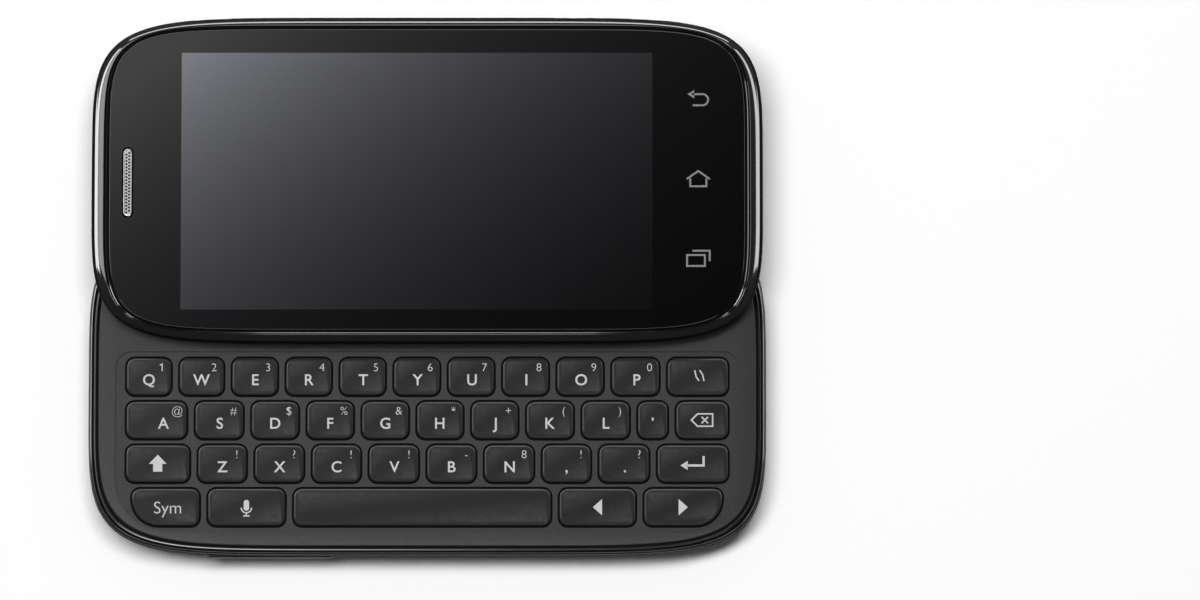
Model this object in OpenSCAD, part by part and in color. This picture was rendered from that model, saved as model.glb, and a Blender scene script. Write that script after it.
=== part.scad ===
// A phone in two halves: a keyboard half, and a display half that slides off it sideways.
// X runs along the length, Y along the slide and Z out of the keys and the screen.
// The origin is the middle of the flat rear face, and the phone is drawn slid open.
// The earpiece end is at -X and the touch symbols are at +X.

/* [Keyboard half] */
// Length of the keyboard half
base_length = 126; // [120:0.5:136]
// Width of the keyboard half
base_width = 62.2; // [60:0.2:68]
// Height of the gloss rim above the rear face
rim_height = 8.1; // [8.1:0.1:9.5]
// Width of the gloss rim round the faceplate
rim_width = 1.8; // [1.4:0.1:2.4]
// Thickness of the side wall
side_wall = 3.2; // [2.8:0.1:3.6]
// Thickness of the deck that carries the circuit board
deck_thickness = 0.4; // [0.3:0.05:0.6]
// Thickness of the circuit board
board_thickness = 0.8; // [0.6:0.05:1]
// Distance from the outside of the half to the edge of the circuit board
board_inset = 4.6; // [4.4:0.1:6]

/* [Rear cover] */
// Wall of the rear cover
cover_wall = 1; // [0.8:0.1:1.2]
// Height of the seam between the rear cover and the side wall
seam_height = 3.2; // [2.6:0.1:3.6]
// How far the cover's rim lies inside the widest outline
cover_rim_inset = 1.65; // [1.3:0.05:2]
// How far the flat of the rear face lies inside the widest outline
cover_flat_inset = 9.5; // [7:0.5:12]
// Gap along the seam
seam_gap = 0.1; // [0.05:0.05:0.2]

/* [Keyboard] */
// Distance from the end of the keyboard half to the outermost keys
key_end = 7.1; // [6.8:0.1:9]
// Distance from the side of the keyboard half to the last row
last_row_side = 5.6; // [5.5:0.1:6.5]
// How much further in the last row begins and ends
last_row_inset = 1.1; // [0.8:0.1:2]
// Gap between the display half, slid open, and the first row
first_row_gap = 2.3; // [2:0.1:4]
// Gap between two keys in a row
key_gap = 1.6; // [1.2:0.05:1.8]
// Gap between two rows of keys
row_gap = 1.15; // [1:0.05:1.3]
// Corner radius of a key
key_corner = 1.4; // [0.8:0.1:1.8]
// Radius of the two keys that fill the lower corners
end_corner = 5.2; // [3:0.1:5.4]
// How far a key stands above the floor of the well
key_rise = 0.45; // [0.3:0.05:0.6]
// Gap between a key and its opening
key_clearance = 0.2; // [0.16:0.02:0.22]
// How far a key's flange reaches past the key
key_flange = 0.4; // [0.3:0.05:0.4]
// Travel of a key
key_travel = 0.28; // [0.2:0.01:0.28]
// Thickness of the faceplate
face_thickness = 0.82; // [0.7:0.02:0.9]
// Depth of the well that the keys lie in
well_depth = 0.4; // [0.2:0.05:0.45]
// How far the well reaches past the field of keys at its ends
well_side = 2.1; // [1.5:0.1:2.5]
// How far the well reaches past the first and last rows
well_margin = 1.2; // [0.8:0.1:1.5]
// Corner radius of the well beside the last row
well_corner = 10; // [7:0.5:11]
// Thickness of the rubber mat under the keys
mat_thickness = 0.2; // [0.15:0.01:0.25]
// Height of the mat's pads and of the board's domes
pad_height = 0.15; // [0.1:0.01:0.2]

/* [Display half] */
// How far the display half's outline lies inside the keyboard half's
display_inset = 0.6; // [0.3:0.1:1]
// Thickness of the display half
display_thickness = 5; // [4.8:0.1:6]
// Height of the display half's back shell at its edge
back_height = 1.7; // [1.5:0.1:1.9]
// Wall of the back shell under its hollow
back_wall = 0.9; // [0.7:0.05:1.2]
// Gap between the two halves
half_gap = 0.4; // [0.3:0.05:0.6]
// Distance from the end of the display half to the glass
glass_end = 3.25; // [3:0.05:4.5]
// Distance from the side of the display half to the glass
glass_side = 2.25; // [2.1:0.05:3]
// Thickness of the front glass
glass_thickness = 0.9; // [0.7:0.05:1.1]
// Round of the glass edge
glass_edge = 0.3; // [0.1:0.05:0.4]
// Width of the ledge under the glass
glass_ledge = 1.2; // [0.8:0.1:1.5]
// Distance from the end of the glass to the display panel
panel_end = 12.65; // [12:0.05:15]
// Distance from the side of the glass to the display panel
panel_side = 2.5; // [2.4:0.1:3.5]
// Thickness of the display panel
panel_thickness = 1.5; // [1.2:0.1:1.6]
// Shift of the panel towards the earpiece
panel_shift = 1.9; // [1:0.1:2.5]
// Length of the earpiece slot
earpiece_length = 12.7; // [10:0.1:14]
// Width of the earpiece slot
earpiece_width = 1.56; // [1.3:0.02:2]
// Distance from the earpiece to the end of the glass
earpiece_inset = 3.55; // [3:0.05:4]
// Depth of the finger reliefs in the rim
relief_depth = 0.4; // [0.2:0.05:0.5]

/* [Slide] */
// How much of the keyboard half's width the display half doesn't slide off
slide_overlap = 23.6; // [22.5:0.1:28]
// Diameter of a guide rod
rod_diameter = 1.2; // [1:0.05:1.3]
// Distance from the end of the keyboard half to a guide rod
rod_end = 16; // [15.5:0.5:19]
// Gap between a rod and the bore of its shoe
rod_clearance = 0.05; // [0.03:0.01:0.08]
// Length of a shoe along its rod
shoe_length = 14; // [10:0.5:16]
// Width of a shoe
shoe_width = 3.4; // [3:0.1:3.8]
// Wall of a shoe above its rod
shoe_roof = 0.25; // [0.2:0.05:0.3]
// Gap between a shoe and its channel
channel_gap = 0.8; // [0.4:0.1:1]
// Thickness of the steel plate that joins the shoes
slide_plate = 0.6; // [0.5:0.05:0.8]

/* [Side keys] */
// Height of a side key
side_key_height = 1.3; // [1:0.1:1.4]
// How far a side key stands proud
side_key_proud = 0.3; // [0.2:0.05:0.6]
// Travel of a side key
side_key_travel = 0.3; // [0.2:0.05:0.35]
// Length of the power key
power_key_length = 11.2; // [8:0.1:13]
// Distance from the earpiece end to the middle of the power key
power_key_end = 24.2; // [22:0.1:27]
// Length of the camera key
camera_key_length = 16.5; // [10:0.1:20]
// Distance from the far end to the middle of the camera key
camera_key_end = 32.2; // [29:0.1:36]
// Length of the volume rocker
volume_key_length = 23.4; // [18:0.1:26]
// Distance from the earpiece end to the middle of the volume rocker
volume_key_end = 33.7; // [31:0.1:38]

/* [Rear camera] */
// Outside of the camera's ring
camera_ring_size = 10.8; // [10:0.1:12]
// Size of the camera's window
camera_window_size = 8.7; // [8:0.1:9]
// Distance from the end of the phone to the middle of the camera
camera_end = 19.5; // [18:0.1:21]
// Distance from the camera to the microphone's hole
mic_offset = 10; // [9:0.5:12]
// Diameter of the lens barrel
lens_diameter = 6; // [5:0.1:7]

/* [Sockets and inner parts] */
// Bore of the headphone socket
jack_bore = 3.6; // [3.5:0.05:3.7]
// Outside diameter of the headphone socket
jack_barrel = 4.6; // [4.4:0.1:5]
// Length of the headphone socket
jack_length = 12.5; // [12:0.5:14]
// How far the mouths of the two sockets lie inside the widest outline
socket_inset = 1.7; // [1.5:0.1:2]
// Distance from the side of the phone to the headphone socket
jack_side = 16.1; // [15:0.1:19]
// Width of the charging socket
usb_width = 7.5; // [7:0.1:8]
// Height of the charging socket
usb_height = 2.45; // [2.3:0.05:2.5]
// Length of the charging socket
usb_depth = 5.6; // [5:0.1:6]
// Distance from the side of the phone to the battery
battery_side = 8.6; // [8.6:0.1:12]
// Thickness of the battery
battery_thickness = 3.5; // [3:0.1:3.5]
// Gap between the battery and the loudspeaker
battery_gap = 2.8; // [1:0.1:6]
// Distance from the middle of the camera to the battery, with the chips between them
chip_room = 19.5; // [17:0.5:24]
// Distance from the end of the phone to the middle of the loudspeaker
speaker_end = 14.2; // [14:0.1:18]
// Distance from the side of the phone to the middle of the loudspeaker
speaker_side = 17; // [17:0.1:20]
// Length of the loudspeaker's case
speaker_length = 11; // [10:0.5:11.5]
// Width of the loudspeaker's case
speaker_width = 13; // [12:0.5:13]
// Diameter of a screw's shank
screw_diameter = 1.2; // [1:0.1:1.4]

/* [Hidden] */
// Fine and plain circles
smooth = 48;
plain = 24;
// Points round the two halves' outlines, and the powers of those outlines along X and Y
outline_points = 64;
body_power = [7, 5];
glass_power = [9, 6];
// Clearance between pieces of one half that are fitted to each other
fit = 0.05;
// How far a cut runs past the face that it opens
cut = 1;

// Half lengths of the keyboard half and of the display half
base_a = base_length / 2;
base_b = base_width / 2;
display_a = base_a - display_inset;
display_b = base_b - display_inset;

slide_travel = base_width - slide_overlap;

// Keyboard half: the heights of its layers
face_top = rim_height - 0.1;
face_under = face_top - face_thickness;
well_floor = face_top - well_depth;
key_top = well_floor + key_rise;
flange_top = face_under - 0.03;
flange_bottom = flange_top - 0.2;
mat_top = flange_bottom - key_travel - 0.03;
pad_top = mat_top;
mat_bottom = mat_top - pad_height - mat_thickness;
dome_top = mat_bottom - 0.02;
board_top = dome_top - pad_height;
board_bottom = board_top - board_thickness;
deck_top = board_bottom - 0.02;
deck_bottom = deck_top - deck_thickness;
frame_bottom = seam_height + seam_gap;
battery_top = deck_bottom - 0.1;

// Rows of keys: the names and the widths as shares of the row
ROW_NAMES = [
    ["q", "w", "e", "r", "t", "y", "u", "i", "o", "p", "backslash"],
    ["a", "s", "d", "f", "g", "h", "j", "k", "l", "quote", "backspace"],
    ["shift", "z", "x", "c", "v", "b", "n", "comma", "period", "enter"],
    ["symbol", "voice", "space", "left", "right"]
];
ROW_SHARES = [
    [0.97, 0.96, 0.99, 0.99, 0.99, 1, 1, 1, 1.01, 1.03, 1.32],
    [1.3, 1.03, 1.01, 1, 1, 0.99, 1, 1.01, 1.02, 0.64, 1.12],
    [1.3, 0.99, 1, 0.99, 1.01, 1, 1.01, 0.99, 1.02, 1.45],
    [1.26, 1.44, 4.8, 1.42, 1.46]
];
ROW_INSETS = [0, 0, 0, last_row_inset];
rows = len(ROW_NAMES);
key_field = base_length - 2 * key_end;
first_row = slide_travel - display_b - first_row_gap;
key_height = (first_row + base_b - last_row_side - (rows - 1) * row_gap) / rows;
row_pitch = key_height + row_gap;
dome_radius = 1.7;
pad_radius = 2;

// Display half: lengths of its layers, place and heights
glass_length = 2 * (display_a - glass_end);
glass_width = 2 * (display_b - glass_side);
panel_length = glass_length - 2 * panel_end;
panel_width = glass_width - 2 * panel_side;
display_y = slide_travel;
back_bottom = rim_height + half_gap;
back_rim = back_bottom + back_height;
bezel_bottom = back_rim + seam_gap;
glass_top = back_bottom + display_thickness;
glass_bottom = glass_top - glass_thickness;
bezel_top = glass_top - 0.1;
panel_top = glass_bottom - 0.1;
panel_bottom = panel_top - panel_thickness;
tray_top = panel_bottom - fit;

// Slide: the rods' place, the channels and the shoes
rod_offset = base_a - rod_end;
shoe_top = back_rim + fit;
rod_z = shoe_top - shoe_roof - rod_diameter / 2 - rod_clearance;
channel_width = shoe_width + 2 * channel_gap;
channel_top = shoe_top + 0.15;
channel_half = display_b - 2.2;
rod_half = channel_half + 0.9;
shoe_y = base_b - 4.8 - shoe_length / 2;
plate_bottom = face_top - slide_plate;
plate_length = 2 * rod_offset + 5;
plate_half_width = shoe_length / 2 + 0.8;

// Side keys
power_key_x = -base_a + power_key_end;
camera_key_x = base_a - camera_key_end;
volume_key_x = -base_a + volume_key_end;
side_key_z = (deck_top + face_under) / 2;
side_flange = 0.2;
side_clearance = 0.1;
side_flange_depth = 0.45;
wall_inside = base_b - side_wall;
rocker_slack = 0.35;
rocker_pivot = 0.5;
rocker_arm = volume_key_length * 0.3;
switch_size = [3, 1.4, 0.5];
// Finger reliefs beside the side keys: middle along the length, and length
RELIEFS = [[power_key_x - 1.2, 7.2], [camera_key_x - 4, 6.6], [camera_key_x + 9.6, 5.4]];

// Rear camera, microphone and loudspeaker
camera_x = -base_a + camera_end;
camera_corner = 0.36;
camera_body = camera_window_size / 2 - 0.1;
mic_hole_diameter = 1;
speaker_middle = [base_a - speaker_end, -base_b + speaker_side];
speaker_slot_pitch = 2.8;
speaker_slot_length = 7.8;
speaker_slot_width = 1.4;
jack_y = base_b - jack_side;
jack_z = 4.3;
jack_mouth = -base_a + socket_inset;
jack_end = jack_mouth + jack_length;
usb_mouth = base_a - socket_inset;
usb_back = usb_mouth - usb_depth;
usb_z = seam_height + 0.15 + usb_height / 2;

// Battery's ends, and the chips in front of it
battery_low = camera_x + chip_room;
battery_high = speaker_middle.x - speaker_length / 2 - battery_gap;
chip_size = [6, 14, 1.4];
chip_gap = 2.25;
chip_pitch = 22;

// Screws that hold the faceplate, the board and the deck together
screw_bore = screw_diameter / 2 + 0.1;
screw_head = 1.1;
screw_head_height = 0.45;
boss_radius = 1.5;
screw_row = base_b - 5.9;
SCREWS = [[-base_a + 8, first_row + 4], [base_a - 7, first_row + 4], [rod_offset + 5, shoe_y],
          for (share = [-0.41, 0, 0.41]) [share * base_a, screw_row]];

KEY_NAMES = [for (row = ROW_NAMES) for (name = row) str("key_", name)];

// ---- Outlines ----

function side_of(v) = v < 0 ? -1 : 1;

// The soft outline of a half: a superellipse with half lengths a and b, and its Y at a given X
function outline_y(x, a, b, power) = b * pow(1 - pow(abs(x) / a, power.x), 1 / power.y);
function soft_outline(a, b, power, n = outline_points) = [
    for (i = [0:n - 1])
        let (t = 360 * (i + 0.5) / n)
            [a * side_of(cos(t)) * pow(abs(cos(t)), 2 / power.x),
             b * side_of(sin(t)) * pow(abs(sin(t)), 2 / power.y)]
];

function base_outline(inset) = soft_outline(base_a - inset, base_b - inset, body_power);
function display_outline(inset) = soft_outline(display_a - inset, display_b - inset, body_power);
function glass_outline(inset) =
    soft_outline(glass_length / 2 - inset, glass_width / 2 - inset, glass_power);

// A quarter turn of a rounded corner
function corner(x, y, r, start, steps) =
    [for (s = [0:steps]) [x + r * cos(start + 90 * s / steps), y + r * sin(start + 90 * s / steps)]];

// A rectangle from low to high whose four corners have the radii r, from the upper right one round
function rounded(low, high, r, steps = 2) = concat(
    corner(high.x - r[0], high.y - r[0], r[0], 0, steps),
    corner(low.x + r[1], high.y - r[1], r[1], 90, steps),
    corner(low.x + r[2], low.y + r[2], r[2], 180, steps),
    corner(high.x - r[3], low.y + r[3], r[3], 270, steps)
);

// The same rectangle drawn in by an inset, or out where the inset is below zero
function drawn_in(box, inset) =
    rounded(box[0] + [inset, inset], box[1] - [inset, inset], [for (r = box[2]) max(r - inset, 0.15)],
            max(box[2]) > 2 ? 4 : max(box[2]) > 1 ? 3 : 2);

function at_height(points, z) = [for (p = points) [p.x, p.y, z]];

// ---- Solids from rings ----

// Faces between ring k and the next, for rings of n points
function band(k, next, n) = [
    for (i = [0:n - 1])
        let (j = (i + 1) % n)
            each [[k * n + i, next * n + i, next * n + j], [k * n + i, next * n + j, k * n + j]]
];

// A solid through the rings, closed by the first and the last
module loft(rings) {
    n = len(rings[0]);
    m = len(rings);
    polyhedron(
        [for (r = rings) each r],
        concat(
            [[for (i = [0:n - 1]) i]],
            [for (k = [0:m - 2]) each band(k, k + 1, n)],
            [[for (i = [n - 1:-1:0]) (m - 1) * n + i]]
        )
    );
}

// A closed hoop whose cross-section goes round through the rings
module hoop(rings) {
    n = len(rings[0]);
    m = len(rings);
    polyhedron([for (r = rings) each r], [for (k = [0:m - 1]) each band(k, (k + 1) % m, n)]);
}

module plate(points, low, high) {
    translate([0, 0, low]) linear_extrude(high - low) polygon(points);
}

module rod_x(x0, x1, y, z, r) {
    translate([x0, y, z]) rotate([0, 90, 0]) cylinder(h = x1 - x0, r = r, $fn = smooth);
}

// A stadium: a slot with round ends along Y
module slot(middle, length, width, low, high) {
    half = (length - width) / 2;
    translate([middle.x, middle.y, low]) linear_extrude(high - low) union() {
        translate([-width / 2, -half]) square([width, 2 * half]);
        translate([0, half]) circle(d = width, $fn = smooth);
        translate([0, -half]) circle(d = width, $fn = smooth);
    }
}

// The camera's rounded square
module camera_square(size, low, high) {
    half = size / 2;
    corners = [for (i = [0:3]) size * camera_corner];
    translate([camera_x, 0, 0])
        plate(rounded([-half, -half], [half, half], corners, 6), low, high);
}

// ---- Keys ----

// The left end of each key in a row, worked out from the shares of the keys before it
function share_sum(shares, count) = count == 0 ? 0 : shares[count - 1] + share_sum(shares, count - 1);
function row_unit(row) =
    (key_field - 2 * ROW_INSETS[row] - (len(ROW_SHARES[row]) - 1) * key_gap)
    / share_sum(ROW_SHARES[row], len(ROW_SHARES[row]));

// Corners, lowest and highest, and corner radii of one key
function key_box(row, i) =
    let (
        unit = row_unit(row),
        x0 = -key_field / 2 + ROW_INSETS[row] + share_sum(ROW_SHARES[row], i) * unit + i * key_gap,
        y1 = first_row - row * row_pitch,
        last = row == rows - 1,
        r = key_corner,
        large = min(end_corner, key_height - key_corner - 0.2)
    ) [
        [x0, y1 - key_height],
        [x0 + ROW_SHARES[row][i] * unit, y1],
        [r, r, last && i == 0 ? large : r, last && i == len(ROW_SHARES[row]) - 1 ? large : r]
    ];

KEY_BOXES = [for (row = [0:rows - 1]) for (i = [0:len(ROW_NAMES[row]) - 1]) key_box(row, i)];
last_row_bottom = first_row - (rows - 1) * row_pitch - key_height;
well_low = [-key_field / 2 - well_side, last_row_bottom - well_margin];
well_high = [key_field / 2 + well_side, first_row + well_margin];

// A key: a cap with a soft upper edge, over a flange that the faceplate holds down
module key_cap(box) {
    color("#2b2c2e") loft([
        at_height(drawn_in(box, -key_flange), flange_bottom),
        at_height(drawn_in(box, -key_flange), flange_top),
        at_height(drawn_in(box, 0), flange_top),
        at_height(drawn_in(box, 0), key_top - 0.3),
        at_height(drawn_in(box, 0.25), key_top - 0.07),
        at_height(drawn_in(box, 0.9), key_top)
    ]);
}

// ---- Keyboard half ----

// Rear cover: a shallow shell whose edge sweeps up to the seam
cover_steps = 7;
cover_sweep = 76;
function cover_ring(step, wall) =
    let (
        t = cover_sweep * step / cover_steps,
        run = cover_flat_inset - cover_rim_inset,
        inset = cover_flat_inset - run * sin(t) / sin(cover_sweep),
        z = seam_height * (1 - cos(t)) / (1 - cos(cover_sweep))
    ) at_height(base_outline(inset + wall), min(z + wall, seam_height));

module rear_cover() {
    color("#4a4c50") difference() {
        loft(concat(
            [for (s = [0:cover_steps]) cover_ring(s, 0)],
            [for (s = [cover_steps:-1:0]) cover_ring(s, cover_wall)]
        ));
        camera_square(camera_ring_size + 2 * fit, -cut, cover_wall + cut);
        translate([camera_x, -mic_offset, -cut])
            cylinder(h = cover_wall + 2 * cut, d = mic_hole_diameter, $fn = plain);
        for (side = [-1, 1])
            slot(speaker_middle + [side * speaker_slot_pitch / 2, 0],
                 speaker_slot_length, speaker_slot_width, -cut, cover_wall + cut);
        rod_x(-base_a - cut, jack_end, jack_y, jack_z, jack_barrel / 2 + 2 * fit);
    }
}

// A cut through the side wall for a side key, on the side that the sign names, with room for its flange
module side_key_cut(x, length, side) {
    opening = [length + 2 * side_clearance, side_wall + 2 * cut, side_key_height + 2 * side_clearance];
    pocket = [length + 2 * (side_flange + side_clearance), 2, side_key_height + 2 * (side_flange + fit)];
    translate([x, side * (wall_inside - cut + opening.y / 2), side_key_z]) cube(opening, center = true);
    translate([x, side * (wall_inside - pocket.y / 2), side_key_z]) cube(pocket, center = true);
}

// Frame: the side wall with the gloss rim on top, and the deck across it
module base_frame() {
    room = camera_body + 0.3;
    color("#17181a") difference() {
        union() {
            hoop([
                at_height(base_outline(cover_rim_inset - 0.35), frame_bottom),
                at_height(base_outline(0.35), frame_bottom + 1.2),
                at_height(base_outline(0), frame_bottom + 2.3),
                at_height(base_outline(0.1), rim_height - 0.9),
                at_height(base_outline(0.35), rim_height - 0.25),
                at_height(base_outline(0.8), rim_height),
                at_height(base_outline(rim_width), rim_height),
                at_height(base_outline(rim_width), face_under - 0.03),
                at_height(base_outline(side_wall), face_under - 0.03),
                at_height(base_outline(side_wall), frame_bottom)
            ]);
            plate(base_outline(side_wall - 0.6), deck_bottom, deck_top);
        }
        // Openings of the deck for the camera, the chips and the two sockets
        translate([camera_x, 0, 0]) plate(rounded([-room, -room], [room, room], [0.3, 0.3, 0.3, 0.3]),
                                          deck_bottom - cut, deck_top + cut);
        plate(rounded([battery_low - 2 * chip_gap - chip_size.x + 0.75, -chip_pitch / 2 - 9],
                      [battery_low - chip_gap + 0.75, chip_pitch / 2 + 9], [1, 1, 1, 1]),
              deck_bottom - cut, deck_top + cut);
        jack_cut();
        usb_cut();
        for (p = SCREWS)
            translate([p.x, p.y, deck_bottom - cut])
                cylinder(h = deck_thickness + 2 * cut, r = screw_bore, $fn = plain);
        side_key_cut(power_key_x, power_key_length, 1);
        side_key_cut(camera_key_x, camera_key_length, 1);
        side_key_cut(volume_key_x, volume_key_length, -1);
    }
}

// Room for the headphone socket: a bore through the wall, and a notch in what lies behind it
module jack_cut() {
    half = jack_barrel / 2 + 0.3;
    start = -base_a + side_wall - 0.3;
    rod_x(-base_a - cut, jack_end, jack_y, jack_z, jack_barrel / 2 + 2 * fit);
    translate([start, jack_y - half, deck_bottom - cut])
        cube([jack_end + 0.3 - start, 2 * half, board_top - deck_bottom + cut + 0.3]);
}

// Room for the charging socket, through the wall and in what lies behind it
module usb_cut() {
    translate([usb_back - 0.3, -usb_width / 2 - 2 * fit, usb_z - usb_height / 2 - 2 * fit])
        cube([usb_depth + 0.3 + socket_inset + cut, usb_width + 4 * fit, usb_height + 4 * fit]);
}

// Faceplate: the satin plate round the keys, with one opening a key and bosses for the screws
module keyboard_faceplate() {
    well = rounded(well_low, well_high, [3, 3, well_corner, well_corner], 6);
    color("#222326") difference() {
        union() {
            plate(base_outline(rim_width + fit), face_under, face_top);
            for (p = SCREWS)
                translate([p.x, p.y, board_top + fit])
                    cylinder(h = face_under - board_top, r = boss_radius, $fn = plain);
        }
        plate(well, well_floor, face_top + cut);
        for (box = KEY_BOXES)
            plate(drawn_in(box, -key_clearance), face_under - cut, face_top + cut);
        for (p = SCREWS)
            translate([p.x, p.y, board_top - cut])
                cylinder(h = face_under - board_top + cut - 0.2, d = screw_diameter, $fn = plain);
        translate([-plate_length / 2 - 0.15, shoe_y - plate_half_width - 0.15, plate_bottom - fit])
            cube([plate_length + 0.3, 2 * plate_half_width + 0.3, slide_plate + cut]);
    }
}

// Rubber mat: a sheet with one pad under each key
module keypad_mat() {
    color("#8d9094") union() {
        plate(rounded([-key_field / 2, last_row_bottom + 0.5], [key_field / 2, first_row - 0.3],
                      [3, 3, well_corner, well_corner], 6), mat_bottom, mat_bottom + mat_thickness);
        for (box = KEY_BOXES)
            translate([(box[0].x + box[1].x) / 2, (box[0].y + box[1].y) / 2, mat_bottom])
                cylinder(h = mat_top - mat_bottom, r = pad_radius, $fn = plain);
    }
}

// Circuit board with its domes, chips and the switches of the side keys
module main_board() {
    chip_x = battery_low - chip_gap - chip_size.x;
    color("#1d5a3a") union() {
        difference() {
            plate(base_outline(board_inset), board_bottom, board_top);
            jack_cut();
            translate([usb_back - 0.3, -usb_width / 2 - 0.3, board_bottom - cut])
                cube([usb_depth + socket_inset, usb_width + 0.6, board_thickness + 2 * cut]);
            for (p = SCREWS)
                translate([p.x, p.y, board_bottom - cut])
                    cylinder(h = board_thickness + 2 * cut, r = screw_bore, $fn = plain);
        }
        for (box = KEY_BOXES)
            translate([(box[0].x + box[1].x) / 2, (box[0].y + box[1].y) / 2, board_top - fit])
                cylinder(h = pad_height + fit, r = dome_radius, $fn = plain);
        for (side = [-1, 1])
            translate([chip_x, side * chip_pitch / 2 - chip_size.y / 2, board_bottom - chip_size.z + 2 * fit])
                cube(chip_size);
        board_switch(power_key_x, 1, fit);
        board_switch(camera_key_x, 1, fit);
        for (side = [-1, 1])
            board_switch(volume_key_x + side * rocker_arm, -1, rocker_slack);
    }
}

// A switch on the board's edge, behind the flange of a side key that has this slack in the wall
module board_switch(x, side, slack) {
    front = wall_inside - slack - side_flange_depth - side_key_travel - fit;
    translate([x, side * (front - switch_size.y / 2), board_top - fit + switch_size.z / 2])
        cube(switch_size, center = true);
}

module battery() {
    half_width = base_b - battery_side;
    color("#3d4046")
        plate(rounded([battery_low, -half_width], [battery_high, half_width], [2, 2, 2, 2], 4),
              battery_top - battery_thickness, battery_top);
}

// Camera: its body against the board, and the lens barrel under the window
module camera_module() {
    color("#101113") union() {
        translate([camera_x - camera_body, -camera_body, cover_wall + 0.7])
            cube([2 * camera_body, 2 * camera_body, board_bottom - cover_wall - 0.75]);
        translate([camera_x, 0, cover_wall + 0.1]) cylinder(h = 0.8, d = lens_diameter, $fn = smooth);
    }
}

// Bright ring round the camera's window, let into the cover
module camera_ring() {
    color("#c9cbd0") difference() {
        camera_square(camera_ring_size, fit, cover_wall + 0.1);
        camera_square(camera_window_size + 2 * fit, -cut, cover_wall + cut);
    }
}

module camera_window() {
    color("#0a0b0d") camera_square(camera_window_size, 0.3, cover_wall);
}

module loudspeaker() {
    half = [speaker_length / 2, speaker_width / 2];
    color("#2e2f31") translate([speaker_middle.x, speaker_middle.y, 0]) difference() {
        plate(rounded([-half.x, -half.y], [half.x, half.y], [2, 2, 2, 4], 4),
              cover_wall + 0.45, deck_bottom - 0.05);
        translate([0, 0, cover_wall]) cylinder(h = 0.8, d = 9, $fn = smooth);
    }
}

module headphone_socket() {
    color("#141416") difference() {
        rod_x(jack_mouth, jack_end, jack_y, jack_z, jack_barrel / 2);
        rod_x(jack_mouth - cut, jack_end - 1, jack_y, jack_z, jack_bore / 2);
    }
}

// Charging socket: a steel shell with its tongue
module usb_socket() {
    x0 = usb_back;
    shell = 0.3;
    tongue = [usb_depth - 1.2, 3.6, 0.6];
    color("#b9bcc0") union() {
        difference() {
            translate([x0, -usb_width / 2, usb_z - usb_height / 2]) cube([usb_depth, usb_width, usb_height]);
            translate([x0 + 0.6, -usb_width / 2 + shell, usb_z - usb_height / 2 + shell])
                cube([usb_depth, usb_width - 2 * shell, usb_height - 2 * shell]);
        }
        translate([x0 + 0.5, -tongue.y / 2, usb_z - tongue.z / 2 + 0.2]) cube(tongue);
    }
}

// Screws: head under the deck, shank up into the faceplate's boss
module base_screws() {
    color("#8c8f94")
        for (p = SCREWS)
            translate([p.x, p.y, 0]) difference() {
                union() {
                    translate([0, 0, deck_bottom - screw_head_height])
                        cylinder(h = screw_head_height - 0.02, r = screw_head, $fn = plain);
                    translate([0, 0, deck_bottom - 0.1])
                        cylinder(h = face_under - deck_bottom - 0.4, d = screw_diameter - 0.06, $fn = plain);
                }
                translate([-0.6, -0.12, deck_bottom - screw_head_height - cut]) cube([1.2, 0.24, cut + 0.2]);
                translate([-0.12, -0.6, deck_bottom - screw_head_height - cut]) cube([0.24, 1.2, cut + 0.2]);
            }
}

// Carriage: the steel plate let into the faceplate, with a bored shoe at each end
module slide_carriage() {
    color("#9a9da2") difference() {
        union() {
            translate([-plate_length / 2, shoe_y - plate_half_width, plate_bottom])
                cube([plate_length, 2 * plate_half_width, slide_plate]);
            for (side = [-1, 1])
                translate([side * rod_offset - shoe_width / 2, shoe_y - shoe_length / 2, plate_bottom])
                    cube([shoe_width, shoe_length, shoe_top - plate_bottom]);
        }
        for (side = [-1, 1])
            translate([side * rod_offset, shoe_y - shoe_length / 2 - cut, rod_z]) rotate([-90, 0, 0])
                cylinder(h = shoe_length + 2 * cut, r = rod_diameter / 2 + rod_clearance, $fn = smooth);
    }
}

// A side key: a cap with a soft face through the wall and a flange behind it
module side_key(x, length, side, slack) {
    half = [length / 2, side_key_height / 2];
    box = [[-half.x, -half.y], [half.x, half.y], [0.5, 0.5, 0.5, 0.5]];
    // Heights along the key's own axis, from the inside of the phone outwards
    back = wall_inside - slack - side_flange_depth;
    shoulder = wall_inside - slack;
    face = outline_y(x, base_a, base_b, body_power) + side_key_proud;
    // The flange is seen from the end of the key, so its inset is even all round
    translate([x, 0, side_key_z]) rotate([side > 0 ? -90 : 90, 0, 0]) loft([
        at_height(drawn_in(box, -side_flange), back),
        at_height(drawn_in(box, -side_flange), shoulder),
        at_height(drawn_in(box, 0), shoulder),
        at_height(drawn_in(box, 0), face - 0.3),
        at_height(drawn_in(box, 0.12), face - 0.1),
        at_height(drawn_in(box, 0.35), face)
    ]);
}

module power_key() {
    color("#1a1b1d") side_key(power_key_x, power_key_length, 1, fit);
}

module camera_key() {
    color("#1a1b1d") side_key(camera_key_x, camera_key_length, 1, fit);
}

// The rocker also has a round pivot rib up the middle of its back
module volume_rocker() {
    rib = side_key_height + 2 * side_flange;
    color("#1a1b1d") union() {
        side_key(volume_key_x, volume_key_length, -1, rocker_slack);
        translate([volume_key_x, -wall_inside + rocker_slack + side_flange_depth, side_key_z - rib / 2])
            cylinder(h = rib, r = rocker_pivot, $fn = smooth);
    }
}

// ---- Display half ----

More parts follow.
